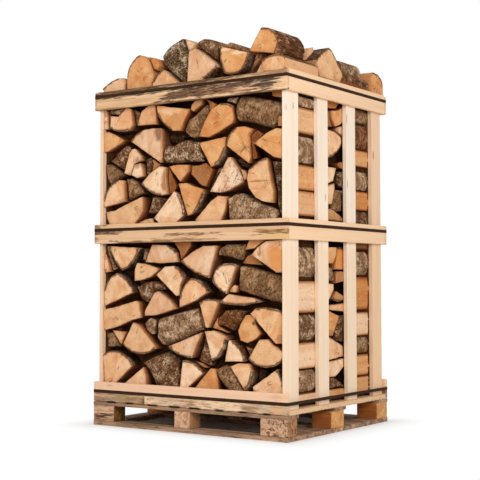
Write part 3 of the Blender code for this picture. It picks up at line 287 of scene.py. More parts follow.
# %% Front logs under the top rail (cm)
TOP_LOGS = [
    ("bark", "brown", 1, [(-55.2, 131), (-54.4, 126.2), (-52.8, 124.6), (-47.8, 128.2), (-43.2, 129.8),
        (-42.8, 130.5), (-52.8, 136.8), (-55, 136.6)]),
    ("bark", "umber", 0.8, [(-51.4, 137.6), (-44.1, 132.9), (-42.8, 133), (-40.6, 138), (-39, 144.3),
        (-40.6, 146), (-45.1, 144.6), (-50.8, 140.3), (-52, 138.7)]),
    ("cut", "gold", 0.3, [(-55.9, 142.6), (-52.8, 143.3), (-44.8, 146.6), (-42, 148.1), (-46.8, 150.7),
        (-52.8, 153.4), (-55.9, 153.4)]),
    ("cut", "pink", 0.2, [(-17.9, 135.1), (-16.7, 138), (-17, 150.4), (-17.8, 152.6), (-22.6, 153),
        (-29.8, 152.6, 0.8), (-37.8, 147.4)]),
    ("cut", "cream", 0.8, [(-42.4, 131), (-38.1, 129.8), (-35.7, 135.6), (-31, 137.1), (-31.2, 139.5),
        (-35.4, 143.4), (-37.3, 143.3), (-39.2, 141)]),
    ("cut", "cream", 0.3, [(-37.1, 129.8), (-33.8, 128.1), (-29.5, 128.9), (-29.7, 132.5), (-31.2, 135.6),
        (-34.8, 134.9)]),
    ("bark", "dusk", 2.2, [(-28.8, 130), (-26.5, 129.8), (-23.9, 134.5), (-25.6, 138.4), (-29.6, 137.7),
        (-29, 133)]),
    ("cut", "orange", 1.8, [(-24.2, 131.4), (-19.4, 134.3), (-24.2, 137.4), (-23.3, 134.5)]),
    ("cut", "pale", 0.3, [(-51.7, 155.1, 1.3), (-38.8, 153.3), (-36.3, 155.9), (-37.9, 164.4),
        (-40.8, 165.4), (-46.3, 160.9), (-51.6, 161.7)]),
    ("bark", "rosy", 1.6, [(-53.1, 162.8), (-46.8, 162.1), (-42.6, 165.5), (-53.1, 165.5)]),
    ("cut", "cream", 0.3, [(-55.9, 154.9), (-53, 154.9), (-54.2, 164.6), (-55.9, 165.4)]),
    ("bark", "brown", 2, [(-35.6, 156), (-33.9, 155.6), (-32.6, 162), (-37, 164.3)]),
    ("cut", "peach", 0.4, [(-33.3, 155.3), (-21.1, 155), (-21.2, 160), (-22.2, 165.4), (-26.8, 164.8),
        (-31.1, 162.2)]),
    ("cut", "orange", 0.2, [(-20.1, 164.4), (-19.7, 160, 1), (-10.6, 150.9), (-5.5, 150.5), (-3.4, 155),
        (0.4, 161), (-8.6, 162.4)]),
    ("bark", "brown", 0.8, [(-4.1, 151.5), (0, 147.4), (1.4, 146.2), (5.4, 146.7), (8.8, 152.5),
        (11.6, 157.5), (11.4, 162.2), (8.1, 161.8), (2.6, 158.2), (-2, 156.1)]),
    ("cut", "rose", 0.8, [(1.2, 160.6), (2.6, 159.5), (7.6, 162.5), (8.7, 165.4), (3.9, 164.8),
        (1.6, 162.8)]),
    ("cut", "brown", 1.4, [(12.4, 159.2), (16.7, 161.7), (13.9, 163.6), (10, 165.2), (12.3, 162.3)]),
    ("cut", "orange", 0.2, [(6.6, 146.7), (12.4, 145.9), (18.4, 148.1), (26.3, 151.8), (27.4, 154),
        (26.4, 160.2, 0.8), (19.6, 161.9), (14.4, 159.7), (10.2, 154)]),
    ("bark", "rosy", 1.8, [(22.3, 163), (27.4, 161.3), (28.6, 164.6), (23.6, 164.8)]),
    ("bark", "brown", 0.2, [(28.2, 152.7), (35.6, 151.5), (42.6, 149.3), (48.9, 147.3), (52.3, 149.4),
        (55.9, 155), (55.9, 159.6), (47.6, 161.6), (37.6, 164.2), (30.6, 165.4), (28.9, 159)]),
    ("cut", "brown", 1.4, [(49.4, 163), (55.9, 161.4), (55.9, 165.4), (48.9, 165.4)]),
    ("cut", "tan", 0.8, [(52.8, 148.2), (55.9, 148.2), (55.9, 153), (53.3, 153)]),
    ("cut", "gold", 0.2, [(39.8, 140.8), (45.6, 137.2), (50.6, 133.8), (55.9, 132.3), (55.9, 146.7),
        (52.3, 147.3), (46.6, 145.2)]),
    ("cut", "gold", 0.3, [(36.3, 131.6), (37.3, 134.5), (36.6, 144.8), (38.8, 148), (33.6, 149.6),
        (28.9, 149.5, 1.2), (22.9, 141.2)]),
    ("cut", "dusk", 1.6, [(37.8, 133.4), (40.3, 134.1), (38.8, 140.6), (44, 145.2), (40.6, 147.2),
        (37.2, 145)]),
    ("cut", "gold", 0.3, [(14.1, 131), (16.8, 132, 0.9), (22.2, 140), (22.3, 145.4), (13.4, 144.3),
        (6.6, 143.3)]),
    ("bark", "coal", 6, [(-16, 145.5), (-11.3, 144.8), (-7.6, 146.8), (-2, 147.7), (-4.7, 149.8),
        (-11.6, 149.4), (-16.3, 151)]),
]
FRONT_LOGS = BOTTOM_LOGS + LOWER_LOGS + UPPER_LOGS + TOP_LOGS
print("front logs:", len(FRONT_LOGS))

# %% [markdown]
# ## Logs seen from the side
#
# Between the slats the front and back rows show their long sides, so a log there is only a strip:
# what shows, its colour, and its lower and upper edge.

# %% Side logs (cm)
SIDE_FRONT_LOGS = [
    ("split", "cream", 16.3, 20.6),
    ("bark", "rosy", 21.1, 31),
    ("split", "cream", 33.6, 44.6),
    ("bark", "lichen", 46.2, 58),
    ("split", "cream", 60.6, 74.4),
    ("bark", "rosy", 76, 91.7),
    ("split", "peach", 107.4, 118),
    ("split", "gold", 119.5, 131),
    ("bark", "rosy", 131.8, 145.2),
    ("split", "peach", 147.2, 159),
    ("bark", "rosy", 159.6, 164.6),
]
SIDE_BACK_LOGS = [
    ("split", "gold", 16.5, 24),
    ("split", "gold", 26.8, 36),
    ("bark", "brown", 37.6, 45),
    ("split", "cream", 47.2, 57.6),
    ("split", "deep", 61, 76.6),
    ("bark", "rosy", 78, 90.4),
    ("split", "russet", 92, 99),
    ("bark", "umber", 104.5, 111),
    ("split", "deep", 112.6, 122),
    ("bark", "rosy", 122.6, 131.6),
    ("split", "gold", 136, 143.4),
    ("bark", "russet", 144.2, 157.4),
    ("bark", "brown", 158.6, 165.6),
]
print("side logs:", len(SIDE_FRONT_LOGS) + len(SIDE_BACK_LOGS))

# %% [markdown]
# ## The middle row, seen from the side
#
# The logs of the middle row lie crosswise, so from the side their sawn ends show.  Here the
# first number of a point is y, counted from the front.

# %% Middle row logs (cm)
MIDDLE_LOGS = [
    ("cut", "gold", [(38, 16), (62, 16), (60, 20.4), (38, 20.4)]),
    ("bark", "umber", [(38, 21), (62, 21), (58, 24), (52, 26.4), (38, 26)]),
    ("cut", "cream", [(38, 27), (53, 26.8), (62, 31.4), (62, 35.4), (38, 33.8)]),
    ("cut", "cream", [(38, 34.8), (62, 36.6), (62, 41.6), (47, 46.8), (38, 46.4)]),
    ("bark", "umber", [(54.8, 44.8), (62, 43.6), (62, 57.6), (58.6, 57.4), (53.4, 50.4)]),
    ("cut", "orange", [(38, 47.8), (50.8, 47.4), (57, 57.2), (46.8, 60), (38, 60)]),
    ("cut", "peach", [(38, 61.3), (62, 59.2), (62, 63.6), (46.8, 62.8), (38, 62.8)]),
    ("cut", "rose", [(49.6, 65.8, 0.8), (62, 64.8), (62, 67), (53.6, 69.8)]),
    ("cut", "cream", [(38, 64), (46.6, 64.8), (51.6, 70.6), (51.4, 73.4), (38, 74)]),
    ("cut", "tan", [(52.8, 73.8), (62, 75), (62, 79.8), (52.8, 79.8)]),
    ("bark", "rosy", [(38, 75), (51.8, 75), (50.4, 81.6), (38, 83)]),
    ("cut", "orange", [(52.8, 80.8), (62, 80.8), (62, 91, 1), (56, 91.6)]),
    ("cut", "peach", [(38, 84), (50.6, 83.8), (53.4, 88.2), (53.4, 92), (38, 91.6)]),
    ("cut", "rose", [(38, 105.6), (62, 105.6), (57, 108.6), (48.8, 111.4), (38, 110)]),
    ("bark", "brown", [(51, 111.6), (55.8, 110), (62, 110.6), (62, 121.4), (53.8, 121.6)]),
    ("cut", "pale", [(38, 112.6), (49.8, 113.8), (52.6, 122), (52.4, 124.4), (38, 120.6)]),
    ("bark", "dusk", [(54.4, 124.6), (62, 122.6), (62, 130.6), (57, 131)]),
    ("cut", "cream", [(38, 121.8), (52.2, 125.6), (56, 132.6), (38, 132.4)]),
    ("cut", "brown", [(54, 134.2), (56.8, 132.8), (62, 132.2), (62, 136), (57, 135.6)]),
    ("cut", "cream", [(38, 135.8, 2.4), (60.4, 144.6), (60.4, 148.8), (53.6, 150.8), (38, 151.6)]),
    ("cut", "pink", [(54, 151.8), (61.4, 149.4), (61.4, 154.8), (56.4, 153.4)]),
    ("cut", "gold", [(48.8, 157.2), (53, 153.4), (57.6, 154.8), (61.6, 157), (61.6, 164.8), (56, 162),
        (48.6, 161)]),
    ("cut", "brown", [(38, 152.6), (50.8, 153), (47.8, 157), (47.6, 160.6), (38, 160)]),
    ("cut", "deep", [(38, 161.4), (54, 162.8), (57.6, 166), (38, 166)]),
]
print("middle row logs:", len(MIDDLE_LOGS))

# %% [markdown]
# ## The heap
#
# On top the logs lie loose.  The numbers after the colour are where the near end is, counted from
# the front, and how long the log is.  The last three lie crosswise: their outline is in (y, z) and
# the first number is the x of their right end.

# %% Heap logs (cm)
HEAP_LOGS = [
    ("cut", "pale", 2.6, 31, [(-55.3, 173.5), (-42.3, 173.5), (-41.7, 180.7), (-46.5, 181.3, 0.6),
        (-57.5, 176.8)]),
    ("cut", "gold", 2.4, 32, [(-40, 173.5), (-25.2, 173.5), (-22.6, 180), (-24, 183.6), (-25.4, 187.2),
        (-27.2, 189.8), (-31.8, 191.8, 0.4), (-35.2, 189.8, 1.2), (-40, 181.5)]),
    ("cut", "deep", 3.4, 26, [(-23, 184), (-21, 182.8), (-19.2, 184.7), (-19.8, 187), (-21, 188.8),
        (-26, 190.2), (-24.6, 187.6)]),
    ("cut", "pale", 2.8, 30, [(-24, 173.5), (-7.2, 173.5), (-6.9, 175.3), (-16.6, 182.7, 0.9),
        (-22.8, 177)]),
    ("bark", "moss", 2.6, 20, [(-5.5, 173.5), (-1.3, 173.5), (-1.1, 190.2), (-3.3, 197), (-4.8, 196.9),
        (-4.5, 195.2), (-6.3, 194.1), (-8.3, 194.8), (-10.4, 192.5), (-13.8, 193.5), (-16.6, 191.9),
        (-19.6, 189.4), (-18.3, 185.9), (-15, 182.5), (-5.4, 175.6)]),
    ("cut", "pink", 2.3, 32, [(-0.6, 173.5), (7.5, 173.5), (9.6, 175.4, 0.4), (17.5, 180.4),
        (17.6, 181.5), (10, 187.2), (3.2, 191.5), (0.4, 190)]),
    ("cut", "pink", 3.6, 27, [(-0.7, 190.9), (0.5, 190.7), (2.6, 191.9), (3.5, 193.7), (3.1, 194.2),
        (-2.8, 196.8)]),
    ("bark", "ash", 3.6, 16, [(4.2, 192.7), (13.6, 185.6), (16.4, 184.2), (17.6, 186), (18, 191),
        (15, 194), (10.2, 195.6), (8, 195.8), (5.6, 195)]),
    ("cut", "gold", 2.4, 28, [(19.4, 190.3, 1), (22, 176.6, 1), (31, 176.2, 1.3), (36.4, 185.2)]),
    ("bark", "brown", 5, 14, [(20.6, 190.1), (32.6, 186.5), (32.2, 188), (31.2, 189.1), (27.9, 190.5),
        (23.6, 192.3), (20.4, 191.2)]),
    ("cut", "gold", 2.5, 25, [(36.9, 186), (40, 185.2), (45, 184.5), (50, 183.3), (51.8, 183, 0.3),
        (53.2, 187.2, 0.5), (52, 191.8, 0.9), (46.4, 196.1, 0.2), (43.4, 196.4)]),
    ("bark", "ribbed", 5, 26, [(33.6, 173.5), (39.2, 173.6), (40.2, 176.6), (43.4, 180), (45.4, 182.4),
        (44.6, 184.5), (41.2, 185.1), (37.6, 185.7), (36.4, 181), (33.4, 176)]),
    ("cut", "peach", 0.4, 30.4, [(47, 174.4), (57.9, 174.4), (57.9, 175.1), (58.9, 175.1),
        (58.8, 180, 0.2), (55.6, 182, 0.2), (51, 182, 0.2), (47.8, 181.2, 0.2), (45.5, 180),
        (45.7, 177.4)]),
    ("cut", "cream", 2.6, 24, [(40, 173.5), (46.4, 173.5), (46.2, 175.5), (44, 179.3)]),
    ("cut", "tan", 64, 20.5, [(44.5, 181.6), (48, 179.4), (52.6, 183.4, 0.6), (52.2, 188, 0.6),
        (47.5, 190.4, 0.8), (42.6, 187.6)]),
    ("cut", "brown", 61.5, 23.5, [(49.4, 175.6), (55.5, 175.6), (57.4, 177.4, 0.4), (57, 180.2, 0.6),
        (53.2, 182), (50.4, 179.6)]),
]
HEAP_CROSS_LOGS = [
    ("peach", 56.4, 27, [(36.6, 176.4), (57, 176.4), (60.2, 180.6), (57, 184.4, 0.3), (50, 191, 0.3),
        (46.4, 192.6, 0.2), (43, 191.4, 0.5), (32.9, 184), (34.7, 179.4)]),
    ("orange", 58.6, 28, [(86, 175.4), (99.4, 175.4), (99.3, 180.8, 0.8), (95.8, 184.8, 0.4),
        (91, 186.2, 0.2), (87.5, 186.2), (85.2, 183), (85.2, 179)]),
    ("pale", 50, 30, [(34, 185.3), (41.5, 190.8), (40.5, 192.6), (37, 191.6), (34.2, 188.4)]),
]
print("heap logs:", len(HEAP_LOGS) + len(HEAP_CROSS_LOGS))

# %% [markdown]
# ## What carries the heap
#
# Behind the front row more logs stand above the rails and carry the heap.  Only their tops show,
# and mostly from behind, so simple outlines do.

# %% Logs that carry the heap (cm)
MIDDLE_FILL = [
    ("peach", [(-54.6, 171), (-42.6, 171), (-42.2, 176.5), (-47, 182, 0.8), (-54.8, 178)]),
    ("ash", [(-42, 171), (-29.5, 171), (-29.2, 177, 4.6), (-41.8, 178)]),
    ("gold", [(-29, 171), (-17.4, 171), (-17.6, 185.5), (-21, 187.2), (-28.6, 179.4)]),
    ("dusk", [(-16.8, 171), (-4.6, 171), (-4.2, 179.5, 3.2), (-16.6, 182)]),
    ("pale", [(-3.6, 171), (9.2, 171), (9.4, 176), (4, 189), (1, 189.4), (-3.4, 181)]),
    ("lichen", [(9.8, 171), (21.8, 171), (22, 180.2, 2.4), (10, 181.4)]),
]
BACK_FILL = [
    ("pale", [(-54.8, 171), (-43.4, 171), (-43.2, 175.4), (-50.5, 179.6, 0.6), (-54.8, 178.4)]),
    ("umber", [(-42.8, 171), (-31.4, 171), (-31.2, 174.5, 4.6), (-42.6, 175.5)]),
    ("peach", [(-30.8, 171), (-19.4, 171), (-19.2, 180.4), (-24.2, 186.2), (-30.6, 181)]),
    ("ash", [(-18.8, 171), (-6.7, 171), (-6.5, 178.3, 3.4), (-18.6, 177.3)]),
    ("gold", [(-6.1, 171), (5.9, 171), (6.1, 181.4), (1.5, 187.4, 0.5), (-5.9, 180.2)]),
    ("dusk", [(6.5, 171), (18, 171), (18.2, 178.6, 2.8), (6.7, 180.4)]),
    ("orange", [(18.6, 171), (30, 171), (30.2, 175.4), (25.2, 183.2), (19.2, 179.6)]),
]
print("logs that carry the heap:", len(MIDDLE_FILL) + len(BACK_FILL))

# %% [markdown]
# ## One heap of loose mesh data
#
# Hundreds of logs as separate objects would be slow to handle, so each row becomes one mesh.
# While logs are made, their points and faces are only collected in lists.  Four things travel
# with every point for the materials: tone, the colour of its log; grain, where it lies from the
# pith and along the log; rim, how near it is to the bark on an end, and on the sides how much
# painted shade they take; and odd, a number of the log's own.

# %% Collect points and faces in a pile
END, SPLIT, BARKED, CORE = range(4)     # the finishes, in the order in which a mesh carries them


def new_pile():
    return {key: [] for key in ("points", "faces", "finish", "tone", "grain", "rim", "odd")}


def add_points(pile, points, grain, tone, rim, odd):
    """Store points and what travels with them; return their numbers."""
    first = len(pile["points"])
    pile["points"] += [tuple(p) for p in points]
    pile["grain"] += [tuple(g) for g in grain]
    pile["tone"] += [tone] * len(points)
    pile["rim"] += list(rim)
    pile["odd"] += [odd] * len(points)
    return list(range(first, first + len(points)))


def add_face(pile, corners, finish):
    if len(set(corners)) > 2:
        pile["faces"].append(tuple(corners))
        pile["finish"].append(finish)


print("a pile collects:", ", ".join(new_pile()))

# %% [markdown]
# ## Turn a pile and merge two
#
# A pile is only lists, so turning and merging it is plain arithmetic.

# %% Turn and merge piles
def half_turned(pile):
    """The same pile turned half round the middle of the crate."""
    turned = {key: list(value) for key, value in pile.items()}
    turned["points"] = [(-x, -y, z) for x, y, z in pile["points"]]
    return turned


def merge(into, other):
    first = len(into["points"])
    for key in other:
        if key != "faces":
            into[key] += other[key]
    into["faces"] += [tuple(first + i for i in face) for face in other["faces"]]


print("a point at (1, 2, 3) turns to", *half_turned({"points": [(1, 2, 3)]})["points"])

# %% [markdown]
# ## Make a mesh of a pile
#
# At the end one mesh is made of a pile, and what travels with the points is hung on it.  Smooth
# shading would smear a sawn edge, so sharp corners are kept hard.

# %% Mesh of a pile
HARD_CORNER = math.radians(38)


def make_piece(name, pile, finishes, solids):
    """Make the mesh object, hang its data on the points and let it stand for its solids."""
    mesh = bpy.data.meshes.new(name)
    mesh.from_pydata(pile["points"], [], pile["faces"])
    for finish in finishes:
        mesh.materials.append(finish)
    mesh.polygons.foreach_set("material_index", pile["finish"])
    mesh.polygons.foreach_set("use_smooth", [True] * len(mesh.polygons))
    tone = mesh.color_attributes.new("tone", "FLOAT_COLOR", "POINT")
    tone.data.foreach_set("color", np.array(pile["tone"], dtype=np.float32).ravel())
    grain = mesh.attributes.new("grain", "FLOAT_VECTOR", "POINT")
    grain.data.foreach_set("vector", np.array(pile["grain"], dtype=np.float32).ravel())
    for key in ("rim", "odd"):
        mesh.attributes.new(key, "FLOAT", "POINT").data.foreach_set("value", pile[key])
    shape = bmesh.new()
    shape.from_mesh(mesh)
    bmesh.ops.recalc_face_normals(shape, faces=shape.faces)
    shape.to_mesh(mesh)
    shape.free()
    mesh.set_sharp_from_angle(angle=HARD_CORNER)
    piece = bpy.data.objects.new(name, mesh)
    link(piece)
    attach(piece, "root")
    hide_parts(*solids)
    print(name, "faces:", len(mesh.polygons))


print("corners stay hard above", round(math.degrees(HARD_CORNER)), "degrees")

# %% [markdown]
# ## Surfaces of a log
#
# Bark breaks into long plates parted by furrows, so its height follows a noise that is stretched
# along the log.  A split face follows the fibres, with ridges that run the whole length.  Real
# relief breaks the outline, which a bump in the material can't do.  Both functions give a height
# in centimetres.

# %% Height of bark and of a split face
def noise_at(x, y, z):
    return noise.noise(Vector((x, y, z)))


def bark_height(along, across, odd):
    """Plates 45 mm long and 10 mm wide, parted by furrows, with crumbs of half a centimetre."""
    warp = 0.8 * noise_at(along * 0.4, across * 0.7, odd)
    plate = 1.0 - 2.4 * abs(noise_at(along * 0.22, (across + warp) * 0.95, odd + 3))
    crumb = noise_at(along * 1.3, across * 2.1, odd + 9)
    return 0.17 * plate + 0.08 * crumb


def split_height(along, across, odd):
    """Fibres as long as the log, steps 3 cm wide where the split jumped, and small slivers."""
    fibre = noise_at(along * 0.05, across * 1.3, odd)
    step = noise_at(along * 0.03, across * 0.3, odd + 5)
    sliver = noise_at(along * 0.35, across * 3.5, odd + 8)
    return 0.12 * fibre + 0.22 * step + 0.05 * sliver


relief = [bark_height(0.0, 0.25 * k, 0.5) for k in range(80)]
print("bark over 20 cm is between", round(min(relief), 2), "and", round(max(relief), 2), "cm high")

# %% [markdown]
# ## The rim of a sawn end
#
# The outline is walked in steps of half a centimetre.  Straight edges get the small raggedness
# of split wood, bowed edges follow an arc.  The arc's centre is where the pith of the tree was,
# so it is kept: the rings on the end will be drawn round it.

# %% Walk round an outline
RIM_STEP = 0.5
WANDER, JAG = 0.16, 0.08    # how far an edge strays, in bends of 25 mm and in teeth of 7 mm
LEAST_BOW = 0.3             # a flatter edge says nothing about the pith
DEEPEST_PITH = 16.0         # no tree here was thicker than twice this
PITH_BESIDE = 7.0           # where an end has no bark, its pith lies this far from its middle


def walk(points, odd):
    """Points round the outline, which of them carry bark, and the place of the pith."""
    corners = [Vector(point[:2]) for point in points]
    area = sum(a.cross(b) for a, b in zip(corners, corners[1:] + corners[:1]))
    side = 1.0 if area > 0 else -1.0
    rim, barked, pith, widest = [], [], None, LEAST_BOW
    for i, point in enumerate(points):
        start, end = corners[i], corners[(i + 1) % len(corners)]
        bow = point[2] if len(point) > 2 else 0.0
        chord = end - start
        along = chord.normalized()
        out = Vector((along.y, -along.x)) * side
        count = max(2, round((chord.length + bow) / RIM_STEP))
        if bow:
            radius = (chord.length ** 2 / 4 + bow ** 2) / (2 * bow)
            half = math.asin(min(1.0, chord.length / (2 * radius)))
            centre = (start + end) / 2 + out * (bow - radius)
            if bow > widest:
                widest, pith = bow, (start + end) / 2 + out * (bow - min(radius, DEEPEST_PITH))
        for k in range(count):
            t = k / count
            if bow:
                angle = half * (2 * t - 1)
                at = centre + radius * (out * math.cos(angle) + along * math.sin(angle))
            else:
                at = start + chord * t
            rough = WANDER * noise_at(at.x * 0.4, at.y * 0.4, odd)
            rough += JAG * noise_at(at.x * 1.5, at.y * 1.5, odd + 7)
            rim.append(at + out * rough * min(1.0, 5 * t, 5 * (1 - t)))
            barked.append(bow > 0)
    if side < 0:
        rim.reverse()
        barked.reverse()
    if pith is None:
        middle = sum(corners, Vector((0, 0))) / len(corners)
        pith = middle + PITH_BESIDE * Vector((math.cos(odd * 9), math.sin(odd * 9)))
    return rim, barked, pith


print("points round the first log:", len(walk(FRONT_LOGS[0][3], 0.37)[0]))

# %% [markdown]
# ## Outward and inside
#
# Two small tools: which way is outward at each point of a rim, so that bark can be laid on it,
# and whether a point lies within it, so that the end can be filled.

# %% Tools for a rim
def outward(rim):
    """Outward direction at every point of a rim that runs counter-clockwise."""
    found = []
    for i in range(len(rim)):
        tangent = rim[(i + 1) % len(rim)] - rim[i - 1]
        found.append(Vector((tangent.y, -tangent.x)).normalized())
    return found


def inside(at, rim):
    """True if a point lies within the rim."""
    found = False
    for a, b in zip(rim, rim[1:] + rim[:1]):
        if (a.y > at.y) != (b.y > at.y) and at.x < a.x + (at.y - a.y) * (b.x - a.x) / (b.y - a.y):
            found = not found
    return found


square = [Vector(corner) for corner in ((0, 0), (4, 0), (4, 4), (0, 4))]
print("middle of a square is inside it:", inside(Vector((2, 2)), square))

# %% [markdown]
# ## The sheet of a sawn end
#
# The sheet is filled with a net of points rather than one big face, so that colours can change
# from the bark towards the heart, and it can ripple a little as a chainsaw leaves it.

# %% Sheet of a sawn end
NET = 1.7               # cm between the points of the net
NET_CLEAR = 0.75        # and how far the net keeps from the rim
# a split edge of an end gets a painted shade line, weaker than the real dark under bark
SPLIT_RIM_SHADE = 0.62        # a split edge is darkened less than one with bark


def end_sheet(pile, rim, barked, level, put, grain_at, tone, odd):
    """Fill a sawn end with a net of points; return the numbers of its border points."""
    low = Vector((min(p.x for p in rim), min(p.y for p in rim)))
    high = Vector((max(p.x for p in rim), max(p.y for p in rim)))
    inner = []
    for i in range(int((high.x - low.x) / NET) + 1):
        for k in range(int((high.y - low.y) / NET) + 1):
            at = low + Vector((i + 0.5 * (k % 2) + 0.25, k + 0.25)) * NET
            if inside(at, rim) and min((at - p).length for p in rim) > NET_CLEAR:
                inner.append(at)
    made = delaunay_2d_cdt(rim + inner, [], [list(range(len(rim)))], 1, 0.0001)
    points, grain, shade, owner = [], [], [], {}
    for number, (at, source) in enumerate(zip(made[0], made[3])):
        on_rim = [s for s in source if s < len(rim)]
        ripple = 0.0 if on_rim else 0.05 * noise_at(at.x * 0.7, at.y * 0.7, odd)
        points.append(put(at.x, at.y, level(at) + ripple))
        grain.append(grain_at(at, 0.0))
        shade.append((1.0 if barked[on_rim[0]] else SPLIT_RIM_SHADE) if on_rim else 0.0)
        for s in on_rim:
            owner[s] = number
    numbers = add_points(pile, points, grain, tone, shade, odd)
    for face in made[2]:
        add_face(pile, [numbers[i] for i in face], END)
    return [numbers[owner.get(s, 0)] for s in range(len(rim))]


print("net of a sawn end: a point every", NET, "cm")

# %% [markdown]
# ## Rings of points along a log
#
# Behind the cut the edge is worn, then the log has its full width, then the relief of bark and
# fibres sets in.  Rings of points lie close together there and farther apart deep in the pile,
# where nobody looks.

# %% Rings along a log
WORN, WHOLE, ROUGH = 0.08, 0.35, 0.8    # cm behind the cut
WORN_DROP = 0.14                        # how much the edge is rounded off
PLATE_LEVEL, MOST_RELIEF = 0.1, 0.12    # plates stand on the outline, and no more than so far out


def ring_depths(span, both):
    """How deep the rings lie; both also sets some close together at the far end."""
    count = max(3, int(span / (2.2 if both else 3.5)))
    depths = [WORN, WHOLE]
    depths += [ROUGH + (span - 2 * ROUGH) * (k / count) ** 1.2 for k in range(count + 1)]
    return depths + ([span - WHOLE, span - WORN] if both else [])


def ring(rim, out, barked, depth, shrink, rough, odd):
    """The rim as it is at one depth, with the relief of bark or fibres on it."""
    made = []
    travelled = 0.0
    for i, at in enumerate(rim):
        travelled += (at - rim[i - 1]).length if i else 0.0
        height = 0.0
        if rough:
            shape = bark_height if barked[i] else split_height
            height = rough * min(MOST_RELIEF, shape(depth, travelled, odd) - PLATE_LEVEL)
        made.append(at + out[i] * (height - shrink))
    return made


print("rings of a log 12 cm deep:", [round(depth, 2) for depth in ring_depths(12, False)])

# %% [markdown]
# ## A log that shows its sawn end
#
# The end is a flat sheet, a little out of square, because a chainsaw never cuts quite straight.
# Round it runs the band of bark, then the edge turns and the sides go back into the pile.  A cut
# cylinder would be simpler, but split logs are wedges, and no two are alike.

# %% Log with a sawn end
BARK_THICK = 0.42       # cm
SPLIT_EDGE = 0.06       # a split edge has no bark, only a torn line
SQUARE_AGAIN = 0.4      # share of the length over which the slant of the cut dies out


def cut_log(pile, points, put, face, back, tone, bark_tone, odd, both=False, tilt=0.05):
    """A log from its sawn face to its far end.  both also finishes the far end."""
    rim, barked, pith = walk(points, odd)
    out = outward(rim)
    dice = random.Random(int(odd * 1000))
    lean = Vector((dice.uniform(-tilt, tilt), dice.uniform(-tilt, tilt)))
    reach = max(lean.dot(p) for p in rim)
    span = back - face
    wood = WOOD_PAINT[tone]

    def grain_at(at, depth):
        return ((at.x - pith.x) * CM, (at.y - pith.y) * CM, depth * CM)

    def front_level(at):
        return face + reach - lean.dot(at)

    def back_level(at):
        return back - reach + lean.dot(at) - 0.3

    wood_rim = [at - out[i] * (BARK_THICK if barked[i] else SPLIT_EDGE) for i, at in enumerate(rim)]
    loops = [end_sheet(pile, wood_rim, barked, front_level, put, grain_at, wood, odd)]
    for depth in ring_depths(span, both):
        edge = min(depth, span - depth) if both else depth
        shrink = WORN_DROP if round(edge, 2) == WORN else 0.0
        loop = ring(rim, out, barked, depth, shrink, 0.0 if edge < 0.5 else min(1.0, edge / 2), odd)
        follow = max(0.0, 1.0 - depth / (SQUARE_AGAIN * span))
        if both:
            follow -= max(0.0, 1.0 - (span - depth) / (SQUARE_AGAIN * span))
        placed = [put(at.x, at.y, face + depth + (reach - lean.dot(at)) * follow) for at in loop]
        grain = [grain_at(at, depth) for at in loop]
        # painted shade: the sides darken the deeper they reach into the pile; loose heap logs take only a
        # little
        dusk = 0.15 if both else min(1.0, 0.25 + depth / 5)
        numbers = add_points(pile, placed, grain, wood, [dusk] * len(loop), odd)
        for i, number in enumerate(numbers):
            if barked[i]:
                pile["tone"][number] = bark_tone
        loops.append(numbers)
    if both:
        far = new_pile()
        far_loop = end_sheet(far, wood_rim, barked, back_level, put, grain_at, wood, odd)
        first = len(pile["points"])
        merge(pile, far)
        loops.append([first + i for i in far_loop])
    for near, away in zip(loops, loops[1:]):
        for i in range(len(rim)):
            j = (i + 1) % len(rim)
            add_face(pile, (near[i], near[j], away[j], away[i]), BARKED if barked[i] else SPLIT)
    if not both:
        add_face(pile, list(reversed(loops[-1])), SPLIT)


trial = new_pile()
cut_log(trial, BOTTOM_LOGS[0][3], facing_front, 2, 14, "pale", cycled_bark(0), 0.37)
print("one sawn log has", len(trial["faces"]), "faces")

# %% [markdown]
# ## Which way a log lies
#
# The longest direction of the outline is the way the log lies.  Stations are set along it, and at
# each one the outline gives the lowest and the highest edge.

# %% Stations along a lying log
def lie_of(corners):
    """Middle of an outline and the direction it is longest in."""
    spread = []
    for a, b in zip(corners, corners[1:] + corners[:1]):
        count = max(2, int((b - a).length))
        spread += [a + (b - a) * (k / count) for k in range(count)]
    cloud = np.array([(p.x, p.y) for p in spread])
    middle = cloud.mean(axis=0)
    axis = np.linalg.eigh(np.cov((cloud - middle).T))[1][:, 1]
    return Vector(middle), Vector(axis)


def crossings(corners, middle, axis, across, along):
    """Where the line across the log at one station enters and leaves the outline."""
    found = []
    for a, b in zip(corners, corners[1:] + corners[:1]):
        ua, ub = (a - middle).dot(axis) - along, (b - middle).dot(axis) - along
        if (ua > 0) != (ub > 0):
            t = ua / (ua - ub)
            found.append((a + (b - a) * t - middle).dot(across))
    return (min(found), max(found)) if len(found) > 1 else None


def stations_of(points, axis, step):
    """Middle of a log, its two directions, and its lower and upper edge at every station."""
    corners = [Vector(point[:2]) for point in points]
    middle, longest = lie_of(corners)
    axis = Vector(axis) if axis else longest
    across = Vector((-axis.y, axis.x))
    ends = [(p - middle).dot(axis) for p in corners]
    low, high = min(ends), max(ends)
    slack = 0.015 * (high - low)
    count = max(4, round((high - low) / step))
    widths = []
    for i in range(count + 1):
        along = low + slack + (high - low - 2 * slack) * i / count
        found = crossings(corners, middle, axis, across, along)
        if found:
            widths.append((along, *found))
    return middle, axis, across, widths


print("stations along the first lying log:", len(stations_of(BOTTOM_LOGS[2][3], None, 0.45)[3]))

# %% [markdown]
# ## A log that lies across
#
# Here the round side shows.  At each station a half round is bent between the lowest and the
# highest edge, and the relief of bark or fibres is raised square to that surface.  Both ends are
# tucked in by a few millimetres, as a sawn log's worn edges are.  Behind the half round the log
# goes straight back into the pile.

